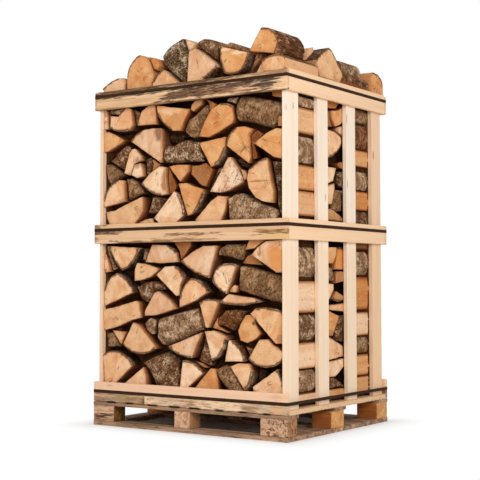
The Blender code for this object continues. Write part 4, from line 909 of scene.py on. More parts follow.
# %% Log that lies across
HALF_ROUND = 88.0       # degrees that the surface turns to either side
SLIM = 0.985            # the half round stays this much inside the outline, for the bark
DEEPEST_ROUND = 5.0     # cm
PLATE_TOP = 0.16        # cm; plates reach the outline, furrows lie within it
# painted shade: a lying log's side darkens where it turns away from the front, and near its ends
SHADE_FROM, SHADE_OVER = 0.8, 0.73      # radians of turn from which the side goes dusky


def lying_log(pile, points, put, face, back, bulge, finish, tone, odd, axis=None, step=0.45, dusk=0.9):
    """A log whose side shows; bulge is how far its middle stands out, as a share of its width."""
    middle, axis, across, widths = stations_of(points, axis, step)
    widest = max(top - bottom for _, bottom, top in widths)
    swell = min(bulge * widest, DEEPEST_ROUND)
    turns = max(6, round(widest * 1.25 / step))
    relief, amount = (bark_height, 1.0) if finish == BARKED else (split_height, 0.8)
    last = len(widths) - 1
    numbers = []
    for i, (along, bottom, top) in enumerate(widths):
        half, mid = (top - bottom) / 2, (top + bottom) / 2
        tuck = 0.5 * (max(0.0, 1 - i / 2) + max(0.0, 1 - (last - i) / 2))
        row, grain, shade = [], [], []
        for k in range(turns + 1):
            turn = math.radians(HALF_ROUND * (2 * k / turns - 1))
            # painted shade where the surface turns away and near the tucked ends
            edge_shade = max(0.0, abs(turn) - SHADE_FROM) / SHADE_OVER
            shade.append(dusk * max(0.8 * min(1.0, tuck), edge_shade))
            height = amount * (relief(along, half * turn * 1.2 + mid, odd) - PLATE_TOP)
            width = mid + (half * SLIM + min(0.0, height)) * math.sin(turn)
            depth = face + swell * (1 - math.cos(turn)) - height * math.cos(turn) + tuck * 0.5
            at = middle + axis * along + across * width
            row.append(put(at.x, at.y, max(depth, face - 0.1)))
            grain.append((width * CM, (depth - face - swell) * CM, along * CM))
        numbers.append(add_points(pile, row, grain, tone, shade, odd))
    for i in range(last):
        near, away = numbers[i], numbers[i + 1]
        for k in range(turns):
            add_face(pile, (near[k], away[k], away[k + 1], near[k + 1]), finish)
    border = [(i, 0) for i in range(last + 1)] + [(last, k) for k in range(1, turns + 1)]
    border += [(i, turns) for i in range(last - 1, -1, -1)] + [(0, k) for k in range(turns - 1, 0, -1)]
    loops = [[numbers[i][k] for i, k in border]]
    for depth in (face + swell + 1.2, back):
        placed, grain = [], []
        for i, k in border:
            along, bottom, top = widths[i]
            turn = math.radians(HALF_ROUND * (2 * k / turns - 1))
            width = (top + bottom) / 2 + (top - bottom) / 2 * SLIM * math.sin(turn)
            at = middle + axis * along + across * width
            placed.append(put(at.x, at.y, depth))
            grain.append((width * CM, depth * CM, along * CM))
        loops.append(add_points(pile, placed, grain, tone, [dusk] * len(placed), odd))
    for near, away in zip(loops, loops[1:]):
        for i in range(len(border)):
            j = (i + 1) % len(border)
            end = border[i][0] == border[j][0] and border[i][0] in (0, last)
            add_face(pile, (near[i], near[j], away[j], away[i]), SPLIT if end else finish)
    add_face(pile, list(reversed(loops[-1])), finish)


trial = new_pile()
lying_log(trial, BOTTOM_LOGS[2][3], facing_front, 2, 13, 0.34, BARKED, BARK_PAINT["ash"], 0.5)
print("one lying log has", len(trial["faces"]), "faces")

# %% [markdown]
# ## A way to write materials
#
# Every material is a small tree of nodes.  One function adds a node, sets it and links it, so
# that a tree reads as a list.  Settings that come back often get a short name.  In a Map Range the
# numbers 1 to 4 say: from here, to here, it becomes this, up to this.  A noise is scaled by the
# real distance between its spots in millimetres.

# %% Add nodes and start a material
OVER = {"data_type": "RGBA", "blend_type": "MIX"}
MULTIPLY = {"data_type": "RGBA", "blend_type": "MULTIPLY"}
BELOW, ABOVE = 6, 7             # the two colours that a Mix node lays on each other
PER_LOG = {"noise_dimensions": "4D"}    # the fourth number is the log's own


def wire(tree, node, sockets):
    """Set or link sockets: each takes a value, an output, or a node for its first live output."""
    for key, value in sockets.items():
        if isinstance(value, bpy.types.Node):
            value = next(output for output in value.outputs if output.enabled)
        if isinstance(value, bpy.types.NodeSocket):
            tree.links.new(value, node.inputs[key])
        else:
            node.inputs[key].default_value = value


def add(tree, kind, sockets=None, **settings):
    """One node with its settings and links."""
    node = tree.nodes.new("ShaderNode" + kind)
    for key, value in settings.items():
        setattr(node, key, value)
    wire(tree, node, sockets or {})
    return node


def every(mm):
    """Scale of a noise whose spots lie about so many millimetres apart."""
    return 1000 / mm


def start_material(name, roughness, specular):
    made = bpy.data.materials.new(name)
    made.use_nodes = True
    shader = made.node_tree.nodes["Principled BSDF"]
    wire(made.node_tree, shader, {"Roughness": roughness, "Specular IOR Level": specular, "IOR": 1.5})
    return made, made.node_tree, shader


print("a noise every 16 mm has the scale", every(16))

# %% [markdown]
# ## Sawn end of a log
#
# The end is beech, birch or alder, cut across by a chainsaw and dried for a summer.  The saw
# tears the fibres, which leaves the face pale and matt, without any gloss.  One picture of an
# end could be laid on all of them, but then all would look alike.  Noise that also takes the
# log's own number gives each its own face.  First, where does a point lie on the end: how far
# from the pith, and on which ray?

# %% Where a point lies on a sawn end
def log_data(tree):
    """What travels with every point: colour and its fourth number, grain, rim and odd."""
    tone, grain, rim, odd = [add(tree, "Attribute", attribute_name=name) for name in
                             ("tone", "grain", "rim", "odd")]
    return (tone.outputs["Color"], tone.outputs["Alpha"], grain.outputs["Vector"],
            rim.outputs["Fac"], odd.outputs["Fac"])


def end_places(tree, grain, odd):
    """Place across the end from the pith, distance from it, and place on a ray from it."""
    split = add(tree, "SeparateXYZ", {0: grain})
    flat = add(tree, "CombineXYZ", {0: split.outputs[0], 1: split.outputs[1]})
    radius = add(tree, "VectorMath", {0: flat}, operation="LENGTH")
    angle = add(tree, "Math", {0: split.outputs[1], 1: split.outputs[0]}, operation="ARCTAN2")
    return flat, radius, add(tree, "CombineXYZ", {0: angle, 1: radius, 2: odd})


print("numbers that travel with a point:", len(new_pile()) - 3)

# %% [markdown]
# ## Redder pieces and damp clouds
#
# Some ends are parted like a cake: heartwood fills one piece, cut off along a ray, and it is
# redder.  Over all ends lie clouds of five or six centimetres where the wood is still damp, and
# paler places between them that dried first.

# %% Redder pieces and clouds
def redder_piece(tree, lit, ray_at):
    piece = add(tree, "TexNoise", {"Vector": ray_at, "Scale": 0.9, "Detail": 0})
    share = add(tree, "MapRange", {"Value": piece, 1: 0.53, 2: 0.56, 3: 0, 4: 0.4})
    return add(tree, "Mix", {0: share, BELOW: lit, ABOVE: paint("#F2CDA6")}, **MULTIPLY)


def damp_clouds(tree, lit, flat, odd):
    cloud = add(tree, "TexNoise", {
        "Vector": flat, "W": odd, "Scale": every(62.5), "Detail": 3, "Roughness": 0.55,
        "Distortion": 0.5}, **PER_LOG)
    damp = add(tree, "MapRange", {"Value": cloud, 1: 0.48, 2: 0.7, 3: 0, 4: 0.6})
    lit = add(tree, "Mix", {0: damp, BELOW: lit, ABOVE: paint("#E8BC90")}, **MULTIPLY)
    dry = add(tree, "MapRange", {"Value": cloud, 1: 0.48, 2: 0.36, 3: 1, 4: 1.09})
    return cloud, add(tree, "Mix", {0: 1, BELOW: lit, ABOVE: dry}, **MULTIPLY)


print("clouds every 62.5 mm have the scale", every(62.5))

# %% [markdown]
# ## Rays and yearly rings
#
# Fine rays run outward from the pith of beech, and yearly rings go round it.  Real rings are 2 to
# 4 mm wide; they are drawn at 9 mm, because finer ones would vanish at this distance.  A sine of
# the distance from the pith makes them, bent a little by the clouds so that they waver.

# %% Rays and rings
RING_MM = 9


def rays_and_rings(tree, lit, radius, ray_at, cloud):
    rays = add(tree, "TexNoise", {"Vector": ray_at, "Scale": 9, "Detail": 4, "Roughness": 0.7})
    shade = add(tree, "MapRange", {"Value": rays, 1: 0.3, 2: 0.7, 3: 0.95, 4: 1.05})
    lit = add(tree, "Mix", {0: 1, BELOW: lit, ABOVE: shade}, **MULTIPLY)
    bent = add(tree, "Math", {0: cloud, 1: 0.02, 2: radius}, operation="MULTIPLY_ADD")
    turn = add(tree, "Math", {0: bent, 1: 2 * math.pi * every(RING_MM)}, operation="MULTIPLY")
    ring_wave = add(tree, "Math", {0: turn}, operation="SINE")
    shade = add(tree, "MapRange", {"Value": ring_wave, 1: -1, 2: 1, 3: 0.94, 4: 1.03})
    return rays, add(tree, "Mix", {0: 1, BELOW: lit, ABOVE: shade}, **MULTIPLY)


print("rings are drawn every", RING_MM, "mm")

# %% [markdown]
# ## Drying cracks
#
# As an end dries it shrinks and cracks along the rays, a millimetre wide at most.  A crack is
# drawn where a noise along the rays passes its middle value, and a second noise lets it show only
# in some places.  A few ends dried so fast that they are crazed all over.

# %% Cracks
def off_middle(tree, value):
    """How far a noise is from its middle value, where a crack is drawn."""
    off = add(tree, "Math", {0: value, 1: 0.5}, operation="SUBTRACT")
    return add(tree, "Math", {0: off}, operation="ABSOLUTE")


def drying_cracks(tree, lit, flat, radius, ray_at, odd):
    crack_noise = add(tree, "TexNoise", {"Vector": ray_at, "Scale": 2.4, "Detail": 2.5})
    off = add(tree, "Math", {0: off_middle(tree, crack_noise), 1: radius}, operation="MULTIPLY")
    crack = add(tree, "MapRange", {"Value": off, 1: 0, 2: 0.0012, 3: 1, 4: 0})
    where = add(tree, "TexNoise", {
        "Vector": flat, "W": odd, "Scale": every(50), "Detail": 1}, **PER_LOG)
    where = add(tree, "MapRange", {"Value": where, 1: 0.54, 2: 0.62, 3: 0, 4: 0.8})
    share = add(tree, "Math", {0: crack, 1: where}, operation="MULTIPLY")
    return crack_noise, add(tree, "Mix", {0: share, BELOW: lit, ABOVE: paint("#5A361E")}, **OVER)


def crazing(tree, lit, extra, flat, odd):
    crazed = add(tree, "MapRange", {"Value": extra, 1: 1, 2: 2, 3: 0, 4: 0.85})
    craze = add(tree, "TexNoise", {
        "Vector": flat, "W": odd, "Scale": every(66.7), "Detail": 4, "Roughness": 0.62,
        "Distortion": 1}, **PER_LOG)
    line = add(tree, "MapRange", {"Value": off_middle(tree, craze), 1: 0.004, 2: 0.014, 3: 1, 4: 0})
    share = add(tree, "Math", {0: line, 1: crazed}, operation="MULTIPLY")
    return add(tree, "Mix", {0: share, BELOW: lit, ABOVE: paint("#5E381E")}, **OVER)


print("crazed tones:", [name for name, colour in WOOD_PAINT.items() if colour[3] > 1])

# %% [markdown]
# ## Sawdust, knots and stains
#
# Crumbs of sawdust cling to the end as pale flecks, and pin holes show dark.  Real ones are 1 to
# 2 mm; they are drawn every 7 mm, because finer ones would vanish.  Knots, stains and the redder
# heart of single logs are known by place, so they are a list: where the spot is, how wide and
# high, its colour and its strength.  Two pale spots along the top of one heap log are painted
# highlights.  The clouds fray its edge.

# %% Specks and spots
# x, z, half width and half height in cm, colour, strength
END_STAINS_AND_HIGHLIGHTS = (
    (-18.7, 149.9, 2.6, 3.4, "#7A5230", 0.8), (-17.0, 142, 1.1, 5.6, "#D9924E", 0.8),
    (-33.5, 136.5, 1.7, 3.0, "#8A6238", 0.6), (-14.6, 125, 2.4, 6.0, "#A86C38", 0.85),
    (-8.5, 156.1, 3.2, 3.4, "#C0905E", 0.5), (37.8, 145.4, 1.4, 1.2, "#6E4424", 0.8),
    (51.9, 85.6, 3.9, 7.6, "#D98A40", 0.75), (38.7, 54.7, 0.9, 0.8, "#5E3818", 0.9),
    (54.0, 47.8, 1.6, 2.3, "#A06F42", 0.7), (29.0, 28.5, 1.0, 0.8, "#6E4020", 0.8),
    (-43.4, 82.0, 6.8, 2.0, "#E0934E", 0.45), (43.0, 122.7, 5.7, 0.4, "#8A5A30", 0.6),
    # the two #F7D2AC spots are painted highlights along the top edge of a heap log
    (43.0, 89.7, 0.6, 2.4, "#9A6030", 0.6), (23, 188.3, 3.4, 0.9, "#F7D2AC", 0.85),
    (31, 185.9, 4.4, 0.8, "#F7D2AC", 0.85), (-11.7, 161.4, 6.4, 2.4, "#F2CBA2", 0.6),
    (-49.4, 135, 5.8, 0.5, "#C9A070", 0.6),
)


def dust_and_holes(tree, lit, flat, odd):
    speck = add(tree, "TexNoise", {
        "Vector": flat, "W": odd, "Scale": every(6.67), "Detail": 2, "Roughness": 0.6}, **PER_LOG)
    dark = add(tree, "MapRange", {"Value": speck, 1: 0.62, 2: 0.70, 3: 0, 4: 0.6})
    lit = add(tree, "Mix", {0: dark, BELOW: lit, ABOVE: paint("#8A5A34")}, **OVER)
    pale = add(tree, "MapRange", {"Value": speck, 1: 0.36, 2: 0.30, 3: 0, 4: 0.45})
    return add(tree, "Mix", {0: pale, BELOW: lit, ABOVE: paint("#F7DDBC")}, **OVER)


def knots_stains_and_highlights(tree, lit, cloud):
    at = add(tree, "TexCoord").outputs["Object"]
    for x, z, wide, high, colour, strength in END_STAINS_AND_HIGHLIGHTS:
        squash = (1 / (wide * CM), 0.0, 1 / (high * CM))
        gap = add(tree, "VectorMath", {0: at, 1: place(x, 0, z)}, operation="SUBTRACT")
        gap = add(tree, "VectorMath", {0: gap, 1: squash}, operation="MULTIPLY")
        gap = add(tree, "VectorMath", {0: gap}, operation="LENGTH")
        gap = add(tree, "Math", {0: cloud, 1: 2.4, 2: gap}, operation="MULTIPLY_ADD")
        share = add(tree, "MapRange", {"Value": gap, 1: 1.9, 2: 2.5, 3: strength, 4: 0})
        lit = add(tree, "Mix", {0: share, BELOW: lit, ABOVE: paint(colour)}, **OVER)
    return lit


print("spots on single logs:", len(END_STAINS_AND_HIGHLIGHTS))

# %% [markdown]
# ## The sawn end, layer on layer
#
# The layers go on in the order in which they came to be on the tree and in the yard, and the
# last few millimetres before the bark are dark: first the sap, then the inner bark.  Split edges
# get a weaker share of the same dark, as a painted shade line between the logs.  The torn fibres
# follow the rays, so the same noise also makes a slight bump.

# %% Sawn end
def sawn_end():
    # chainsawn hardwood: pale and quite without gloss, as the torn fibres scatter the light
    made, tree, shader = start_material("chainsawn_hardwood", 0.85, 0.15)
    lit, extra, grain, rim, odd = log_data(tree)
    flat, radius, ray_at = end_places(tree, grain, odd)
    lit = redder_piece(tree, lit, ray_at)
    cloud, lit = damp_clouds(tree, lit, flat, odd)
    rays, lit = rays_and_rings(tree, lit, radius, ray_at, cloud)
    cracks, lit = drying_cracks(tree, lit, flat, radius, ray_at, odd)
    lit = crazing(tree, lit, extra, flat, odd)
    lit = dust_and_holes(tree, lit, flat, odd)
    lit = knots_stains_and_highlights(tree, lit, cloud)
    # sap and inner bark darken barked edges; split edges get the same darkening as painted shade
    sap_and_edge_shade = add(tree, "MapRange", {"Value": rim, 1: 0.15, 2: 0.8, 3: 0, 4: 0.4})
    lit = add(tree, "Mix", {0: sap_and_edge_shade, BELOW: lit, ABOVE: paint("#B87644")}, **OVER)
    bark = add(tree, "MapRange", {"Value": rim, 1: 0.5, 2: 0.85, 3: 0, 4: 0.9})
    lit = add(tree, "Mix", {0: bark, BELOW: lit, ABOVE: paint("#54341E")}, **OVER)
    torn = add(tree, "Math", {0: rays, 1: 0.5, 2: cracks}, operation="MULTIPLY_ADD")
    relief = add(tree, "Bump", {"Height": torn, "Strength": 0.2, "Distance": 0.002})
    wire(tree, shader, {"Base Color": lit, "Normal": relief})
    return made


end_finish = sawn_end()
print("nodes of the sawn end:", len(end_finish.node_tree.nodes))

# %% [markdown]
# ## Split side of a log
#
# An axe follows the fibres and leaves them whole, so the side is a little smoother and warmer
# than the end, with long streaks and here and there a strip that tore out darker or paler.
# Fibres are finer than a millimetre; they are drawn as streaks 7 mm apart, because finer ones
# would vanish.  Deep in the pile the side is darkened with painted shade.

# %% Split side
FIBRE_PULL = (1.0, 1.0, 0.07)   # the noise is drawn out fourteen times along the log


def split_side():
    # axe-split hardwood: whole fibres lie along the face, matt with a breath of sheen
    made, tree, shader = start_material("axe_split_hardwood", 0.8, 0.2)
    lit, extra, grain, rim, odd = log_data(tree)
    long_way = add(tree, "Mapping", {"Vector": grain, "Scale": FIBRE_PULL})
    fibre = add(tree, "TexNoise", {
        "Vector": long_way, "W": odd, "Scale": every(6.67), "Detail": 5, "Roughness": 0.65}, **PER_LOG)
    band = add(tree, "TexNoise", {
        "Vector": long_way, "W": odd, "Scale": every(35.7), "Detail": 3, "Distortion": 0.4}, **PER_LOG)
    shade = add(tree, "MapRange", {"Value": fibre, 1: 0.35, 2: 0.65, 3: 0.9, 4: 1.04})
    lit = add(tree, "Mix", {0: 1, BELOW: lit, ABOVE: shade}, **MULTIPLY)
    share = add(tree, "MapRange", {"Value": band, 1: 0.42, 2: 0.65, 3: 0.05, 4: 0.45})
    lit = add(tree, "Mix", {0: share, BELOW: lit, ABOVE: paint("#E6B88C")}, **MULTIPLY)
    torn = add(tree, "TexNoise", {
        "Vector": grain, "W": odd, "Scale": every(13.3), "Detail": 5, "Roughness": 0.7}, **PER_LOG)
    share = add(tree, "MapRange", {"Value": torn, 1: 0.57, 2: 0.66, 3: 0, 4: 0.7})
    lit = add(tree, "Mix", {0: share, BELOW: lit, ABOVE: paint("#8E5C34")}, **OVER)
    share = add(tree, "MapRange", {"Value": torn, 1: 0.42, 2: 0.34, 3: 0, 4: 0.5})
    lit = add(tree, "Mix", {0: share, BELOW: lit, ABOVE: paint("#F6D4AC")}, **OVER)
    # painted shade: the side darkens with its depth in the pile, first to a warm brown, then to dark brown
    painted_shade_shallow = add(tree, "MapRange", {"Value": rim, 1: 0.1, 2: 0.4, 3: 0, 4: 0.8})
    lit = add(tree, "Mix", {0: painted_shade_shallow, BELOW: lit, ABOVE: paint("#C8986A")}, **MULTIPLY)
    painted_shade_deep = add(tree, "MapRange", {"Value": rim, 1: 0.4, 2: 1, 3: 0, 4: 0.85})
    lit = add(tree, "Mix", {0: painted_shade_deep, BELOW: lit, ABOVE: paint("#6A4426")}, **MULTIPLY)
    relief = add(tree, "Bump", {"Height": fibre, "Strength": 0.5, "Distance": 0.002})
    wire(tree, shader, {"Base Color": lit, "Normal": relief})
    return made


split_finish = split_side()
print("nodes of the split side:", len(split_finish.node_tree.nodes))

# %% [markdown]
# ## Bark
#
# Old bark of alder and oak is cork that burst as the trunk grew: dead matt, with plates of 16 mm
# parted by furrows that are nearly black.  Grey-beige lichen covers them in flecks of about a
# centimetre, thick in some places and missing in others.  Painting each log's bark would take
# days; three noises do it here, and the log's own lichen number says how much shows.  On the one
# ribbed log the plates are drawn out along the trunk.

# %% Bark
PLATE_MM, FLECK_MM, PATCH_MM = 16.1, 11.9, 41.7


def rough_bark():
    # corky bark: soft and broken, so that it gives back no shine at all
    made, tree, shader = start_material("corky_bark", 0.95, 0.1)
    lit, lichen_share, grain, rim, odd = log_data(tree)
    ribbed = add(tree, "MapRange", {"Value": lichen_share, 1: 1, 2: 1.5, 3: 0, 4: 1})
    pull = add(tree, "Math", {0: ribbed, 1: -1.5, 2: 1.65}, operation="MULTIPLY_ADD")
    pull = add(tree, "CombineXYZ", {0: 1, 1: 1, 2: pull})
    long_way = add(tree, "VectorMath", {0: grain, 1: pull}, operation="MULTIPLY")
    plate = add(tree, "TexNoise", {
        "Vector": long_way, "W": odd, "Scale": every(PLATE_MM), "Detail": 5, "Roughness": 0.72,
        "Distortion": 0.6}, **PER_LOG)
    furrow = add(tree, "MapRange", {"Value": plate, 1: 0.42, 2: 0.60, 3: 0.3, 4: 1.25})
    lit = add(tree, "Mix", {0: 1, BELOW: lit, ABOVE: furrow}, **MULTIPLY)
    area = add(tree, "TexNoise", {
        "Vector": grain, "W": odd, "Scale": every(PATCH_MM), "Detail": 3}, **PER_LOG)
    patch = add(tree, "MapRange", {"Value": area, 1: 0.35, 2: 0.65, 3: 0.72, 4: 1.2})
    lit = add(tree, "Mix", {0: 1, BELOW: lit, ABOVE: patch}, **MULTIPLY)
    fleck = add(tree, "TexNoise", {
        "Vector": long_way, "W": odd, "Scale": every(FLECK_MM), "Detail": 4, "Roughness": 0.7,
        "Distortion": 0.3}, **PER_LOG)
    thick = add(tree, "MapRange", {"Value": area, 1: 0.35, 2: 0.62, 3: -0.12, 4: 0.06})
    fleck = add(tree, "Math", {0: fleck, 1: thick}, operation="ADD")
    lichen = add(tree, "MapRange", {"Value": fleck, 1: 0.51, 2: 0.59, 3: 0, 4: 1})
    most = add(tree, "Math", {0: lichen_share, 1: 0.92}, operation="MINIMUM")
    lichen = add(tree, "Math", {0: lichen, 1: most}, operation="MULTIPLY")
    crust = add(tree, "Mix", {0: ribbed, BELOW: paint("#DEC6A6"), ABOVE: paint("#B98C64")}, **OVER)
    lit = add(tree, "Mix", {0: lichen, BELOW: lit, ABOVE: crust}, **OVER)
    # painted shade: bark darkens with its depth in the pile and where it turns away
    deep = add(tree, "MapRange", {"Value": rim, 1: 0.3, 2: 1, 3: 0, 4: 0.85})
    lit = add(tree, "Mix", {0: deep, BELOW: lit, ABOVE: paint("#6A4A34")}, **MULTIPLY)
    relief = add(tree, "Bump", {"Height": plate, "Strength": 0.8, "Distance": 0.004})
    wire(tree, shader, {"Base Color": lit, "Normal": relief})
    return made


bark_finish = rough_bark()
print("nodes of the bark:", len(bark_finish.node_tree.nodes))

# %% [markdown]
# ## The dark between the logs
#
# Between real logs one looks past more logs into shade, dust and crumbled bark.  A plain brown
# block in the heart of each row does the same for far fewer faces: its dark brown is painted shade.

# %% Dark heart of a row
def painted_shade_hollow():
    # painted shade of the hollows between logs, over a little bark dust: it takes in nearly all light
    made, tree, shader = start_material("painted_shade_hollow", 1.0, 0.0)
    at = add(tree, "TexCoord").outputs["Object"]
    dirt = add(tree, "TexNoise", {"Vector": at, "Scale": every(33.3), "Detail": 3})
    lit = add(tree, "Mix", {0: dirt, BELOW: paint("#1E120A"), ABOVE: paint("#5E3B22")}, **OVER)
    wire(tree, shader, {"Base Color": lit})
    return made


LOG_FINISHES = [end_finish, split_finish, bark_finish, painted_shade_hollow()]
print("finishes of a row:", [finish.name for finish in LOG_FINISHES])

# %% [markdown]
# ## What a row needs besides its front logs
#
# Between the slats the rows show their long sides, a dark heart keeps daylight out of the gaps,
# and under the heap a layer of flat logs closes the top.

# %% Dark heart, side logs and top layer
BOX_SIDES = ((0, 1, 2, 3), (4, 5, 6, 7), (0, 1, 5, 4), (1, 2, 6, 5), (2, 3, 7, 6), (3, 0, 4, 7))
MOST_FILL = 2.4     # cm of a gap between two side logs that they may take up between them
CLEAR = 0.3         # cm that stay open
CORE_TONE = (0.02, 0.01, 0.01, 0)   # never shows, as the heart has a finish of its own


def dark_core(pile, x_span, y_span, z_span):
    (x0, x1), (y0, y1) = x_span, y_span
    corners = [place(x, y, z) for z in z_span for x, y in ((x0, y0), (x1, y0), (x1, y1), (x0, y1))]
    numbers = add_points(pile, corners, [(0, 0, 0)] * 8, CORE_TONE, [0] * 8, 0.0)
    for side in BOX_SIDES:
        add_face(pile, [numbers[i] for i in side], CORE)


def side_logs(pile, table, y_span, put, odd):
    """Logs seen along their length between the slats."""
    for number, (kind, tone, low, high) in enumerate(table):
        above = table[number + 1][2] if number + 1 < len(table) else high
        below = table[number - 1][3] if number else low
        high += max(0.0, min(MOST_FILL, above - high - CLEAR) / 2)
        low -= max(0.0, min(MOST_FILL, low - below - CLEAR) / 2)
        points = [(y_span[0], low), (y_span[1], low), (y_span[1], high), (y_span[0], high)]
        finish, bulge = (BARKED, 0.24) if kind == "bark" else (SPLIT, 0.04)
        lying_log(pile, points, put, 0.0, 5.5, bulge, finish, any_paint(tone), odd + number, (1, 0))


def top_layer(pile, y_span, odd):
    """Logs that close the top of a row under the heap, barked and split ones in turn."""
    edge = -55.2
    for number in range(9):
        wide = 11.2 + 1.6 * ((number * 5) % 3 - 1)
        points = [(edge, y_span[0]), (edge + wide, y_span[0]), (edge + wide, y_span[1]), (edge, y_span[1])]
        finish, tone = (BARKED, cycled_bark(number)) if number % 2 else (SPLIT, WOOD_PAINT["orange"])
        lying_log(pile, points, facing_up, 0.4, 5.0, 0.16, finish, tone, odd + number, (0, 1), step=0.7)
        edge += wide + 0.5


print("side logs close gaps of up to", MOST_FILL + CLEAR, "cm")

# %% [markdown]
# ## The front row
#
# The front row points its ends at the viewer.  Every log gets its own number, far from those of
# its neighbours, and with it its own relief, slant and pattern.

# %% Front row
FRONT_NEAR, FRONT_FAR, BACK_NEAR, BACK_FAR = ROW_ENDS
APART = 1.618       # step between the numbers of two logs; not a round one, so none repeats
front_row = new_pile()
# dark blocks whose brown is painted shade: the heart of the row, a wall behind the front logs, and a thin
# wall beside the left slat
dark_core(front_row, (-54, 54), (13, FRONT_FAR), (CORE_BOTTOM, CORE_TOP))
dark_core(front_row, (-55.8, 55.8), (11.4, 13.6), (CORE_BOTTOM, 172.5))
dark_core(front_row, (-55.85, -54.3), (4.5, 12), (CORE_BOTTOM, 166))
for number, (kind, tone, set_back, points) in enumerate(FRONT_LOGS):
    odd = 0.37 + number * APART
    face = FRONT_NEAR + set_back
    if kind == "cut":
        cut_log(front_row, points, facing_front, face, 14.5, tone, cycled_bark(5 * number), odd)
    else:
        lying_log(front_row, points, facing_front, face, 13.5, 0.34, BARKED, any_paint(tone), odd)
side_logs(front_row, SIDE_FRONT_LOGS, (13.2, 33.8), facing_right, 300.5)
side_logs(front_row, SIDE_BACK_LOGS, (66.0, 90.0), facing_left, 330.5)
print("front row points:", len(front_row["points"]))

# %% [markdown]
# ## The back row
#
# Nothing is known of the back row, so it is the front row turned half round.  Only its top is
# its own, because that shows under the heap.

# %% Back row
def fill_logs(pile, table, first, last, odd):
    """Logs that carry the heap on, their ends not quite in line."""
    for number, (tone, points) in enumerate(table):
        shift = 0.4 * (number * 2 % 5)
        wood = tone if tone in WOOD else ("peach", "orange", "pale", "gold")[number % 4]
        bark = BARK_PAINT.get(tone) or cycled_bark(number)
        near, far = first + shift, last - 1.6 + shift
        cut_log(pile, points, facing_front, near, far, wood, bark, odd + number, True)


back_row = half_turned(front_row)
top_layer(front_row, (2.6, 33.6), 360.5)
top_layer(back_row, (66.2, 97.5), 380.5)
fill_logs(back_row, BACK_FILL, BACK_NEAR + 2, BACK_FAR - 0.5, 400.5)
print("back row points:", len(back_row["points"]))

# %% [markdown]
# ## The middle row
#
# The middle row lies crosswise, which locks the pile together.  Its ends show between the slats
# of both sides, so each log of the table is made once for the right and once for the left.

# %% Middle row
middle_row = new_pile()
# the dark heart of the middle row is painted shade
dark_core(middle_row, (-48, 48), (FRONT_FAR + 0.1, BACK_NEAR - 0.1), (CORE_BOTTOM, CORE_TOP))
for number, (kind, tone, points) in enumerate(MIDDLE_LOGS):
    face = 0.1 + 0.35 * (number % 3)
    for put, odd in ((facing_right, 420.5), (facing_left, 450.5)):
        if kind == "cut":
            cut_log(middle_row, points, put, face, 9.0, tone, cycled_bark(3 * number), odd + number)
        else:
            lying_log(middle_row, points, put, face, 8.0, 0.2, BARKED, any_paint(tone), odd + number)
top_layer(middle_row, (34.2, 65.6), 480.5)
fill_logs(middle_row, MIDDLE_FILL, FRONT_FAR + 2.03, BACK_NEAR - 1.53, 500.5)
make_piece("front_row", front_row, LOG_FINISHES, ["front_row_logs"])
make_piece("middle_row", middle_row, LOG_FINISHES, ["middle_row_logs"])
make_piece("back_row", back_row, LOG_FINISHES, ["back_row_logs"])

# %% [markdown]
# ## The heap
#
# Above the top rails the logs lie loose, and every side of them can be seen.  Each is a piece of
# its own with both ends finished.  Most run front to back, and the last three lie crosswise.

# %% Heap
HEAP_BARK = {11: "ribbed", 15: "rosy", 16: "umber"}     # the others take theirs in turn
HEAP_TILT = 0.03        # both ends show, so they are cut a little straighter

for number, (kind, tone, face, length, points) in enumerate(HEAP_LOGS, 1):
    pile = new_pile()
    back = face + length
    odd = 600.5 + number * APART
    if kind == "cut":
        bark = BARK_PAINT[HEAP_BARK[number]] if number in HEAP_BARK else cycled_bark(3 * number)
        cut_log(pile, points, facing_front, face, back, tone, bark, odd, True, HEAP_TILT)
    else:
        # loose heap logs take less painted shade on their edges
        lying_log(pile, points, facing_front, face, back, 0.34, BARKED, any_paint(tone), odd, dusk=0.3)
    make_piece("heap_piece_%02d" % number, pile, LOG_FINISHES, ["heap_log_%02d" % number])
for number, (tone, right_end, length, points) in enumerate(HEAP_CROSS_LOGS, len(HEAP_LOGS) + 1):
    pile = new_pile()

    def facing_end(a, b, depth):
        return place(right_end - depth, a, b)
    cut_log(pile, points, facing_end, 0.0, length, tone, cycled_bark(3 * number), 600.5 + number,
            True, HEAP_TILT)
    make_piece("heap_piece_%02d" % number, pile, LOG_FINISHES, ["heap_log_%02d" % number])

# %% [markdown]
# ## Sawn boards
#
# Rails and slats are rough-sawn softwood straight from the mill: spruce and pine, pale, with
# long grain lines and a few knots.  A board could be cut out of a solid pattern of rings, but
# noise drawn out along the board gives the same lines with less work.  What is known by place,
# such as a knot, a strip of bark or a stain, is a mark: a box with ragged edges.

# %% A mark on a board
def drawn_out(along, share):
    """Scale by axis: a pattern drawn out along the grain, which runs along X, Y or Z."""
    return [share if axis == along else 1.0 for axis in "XYZ"]


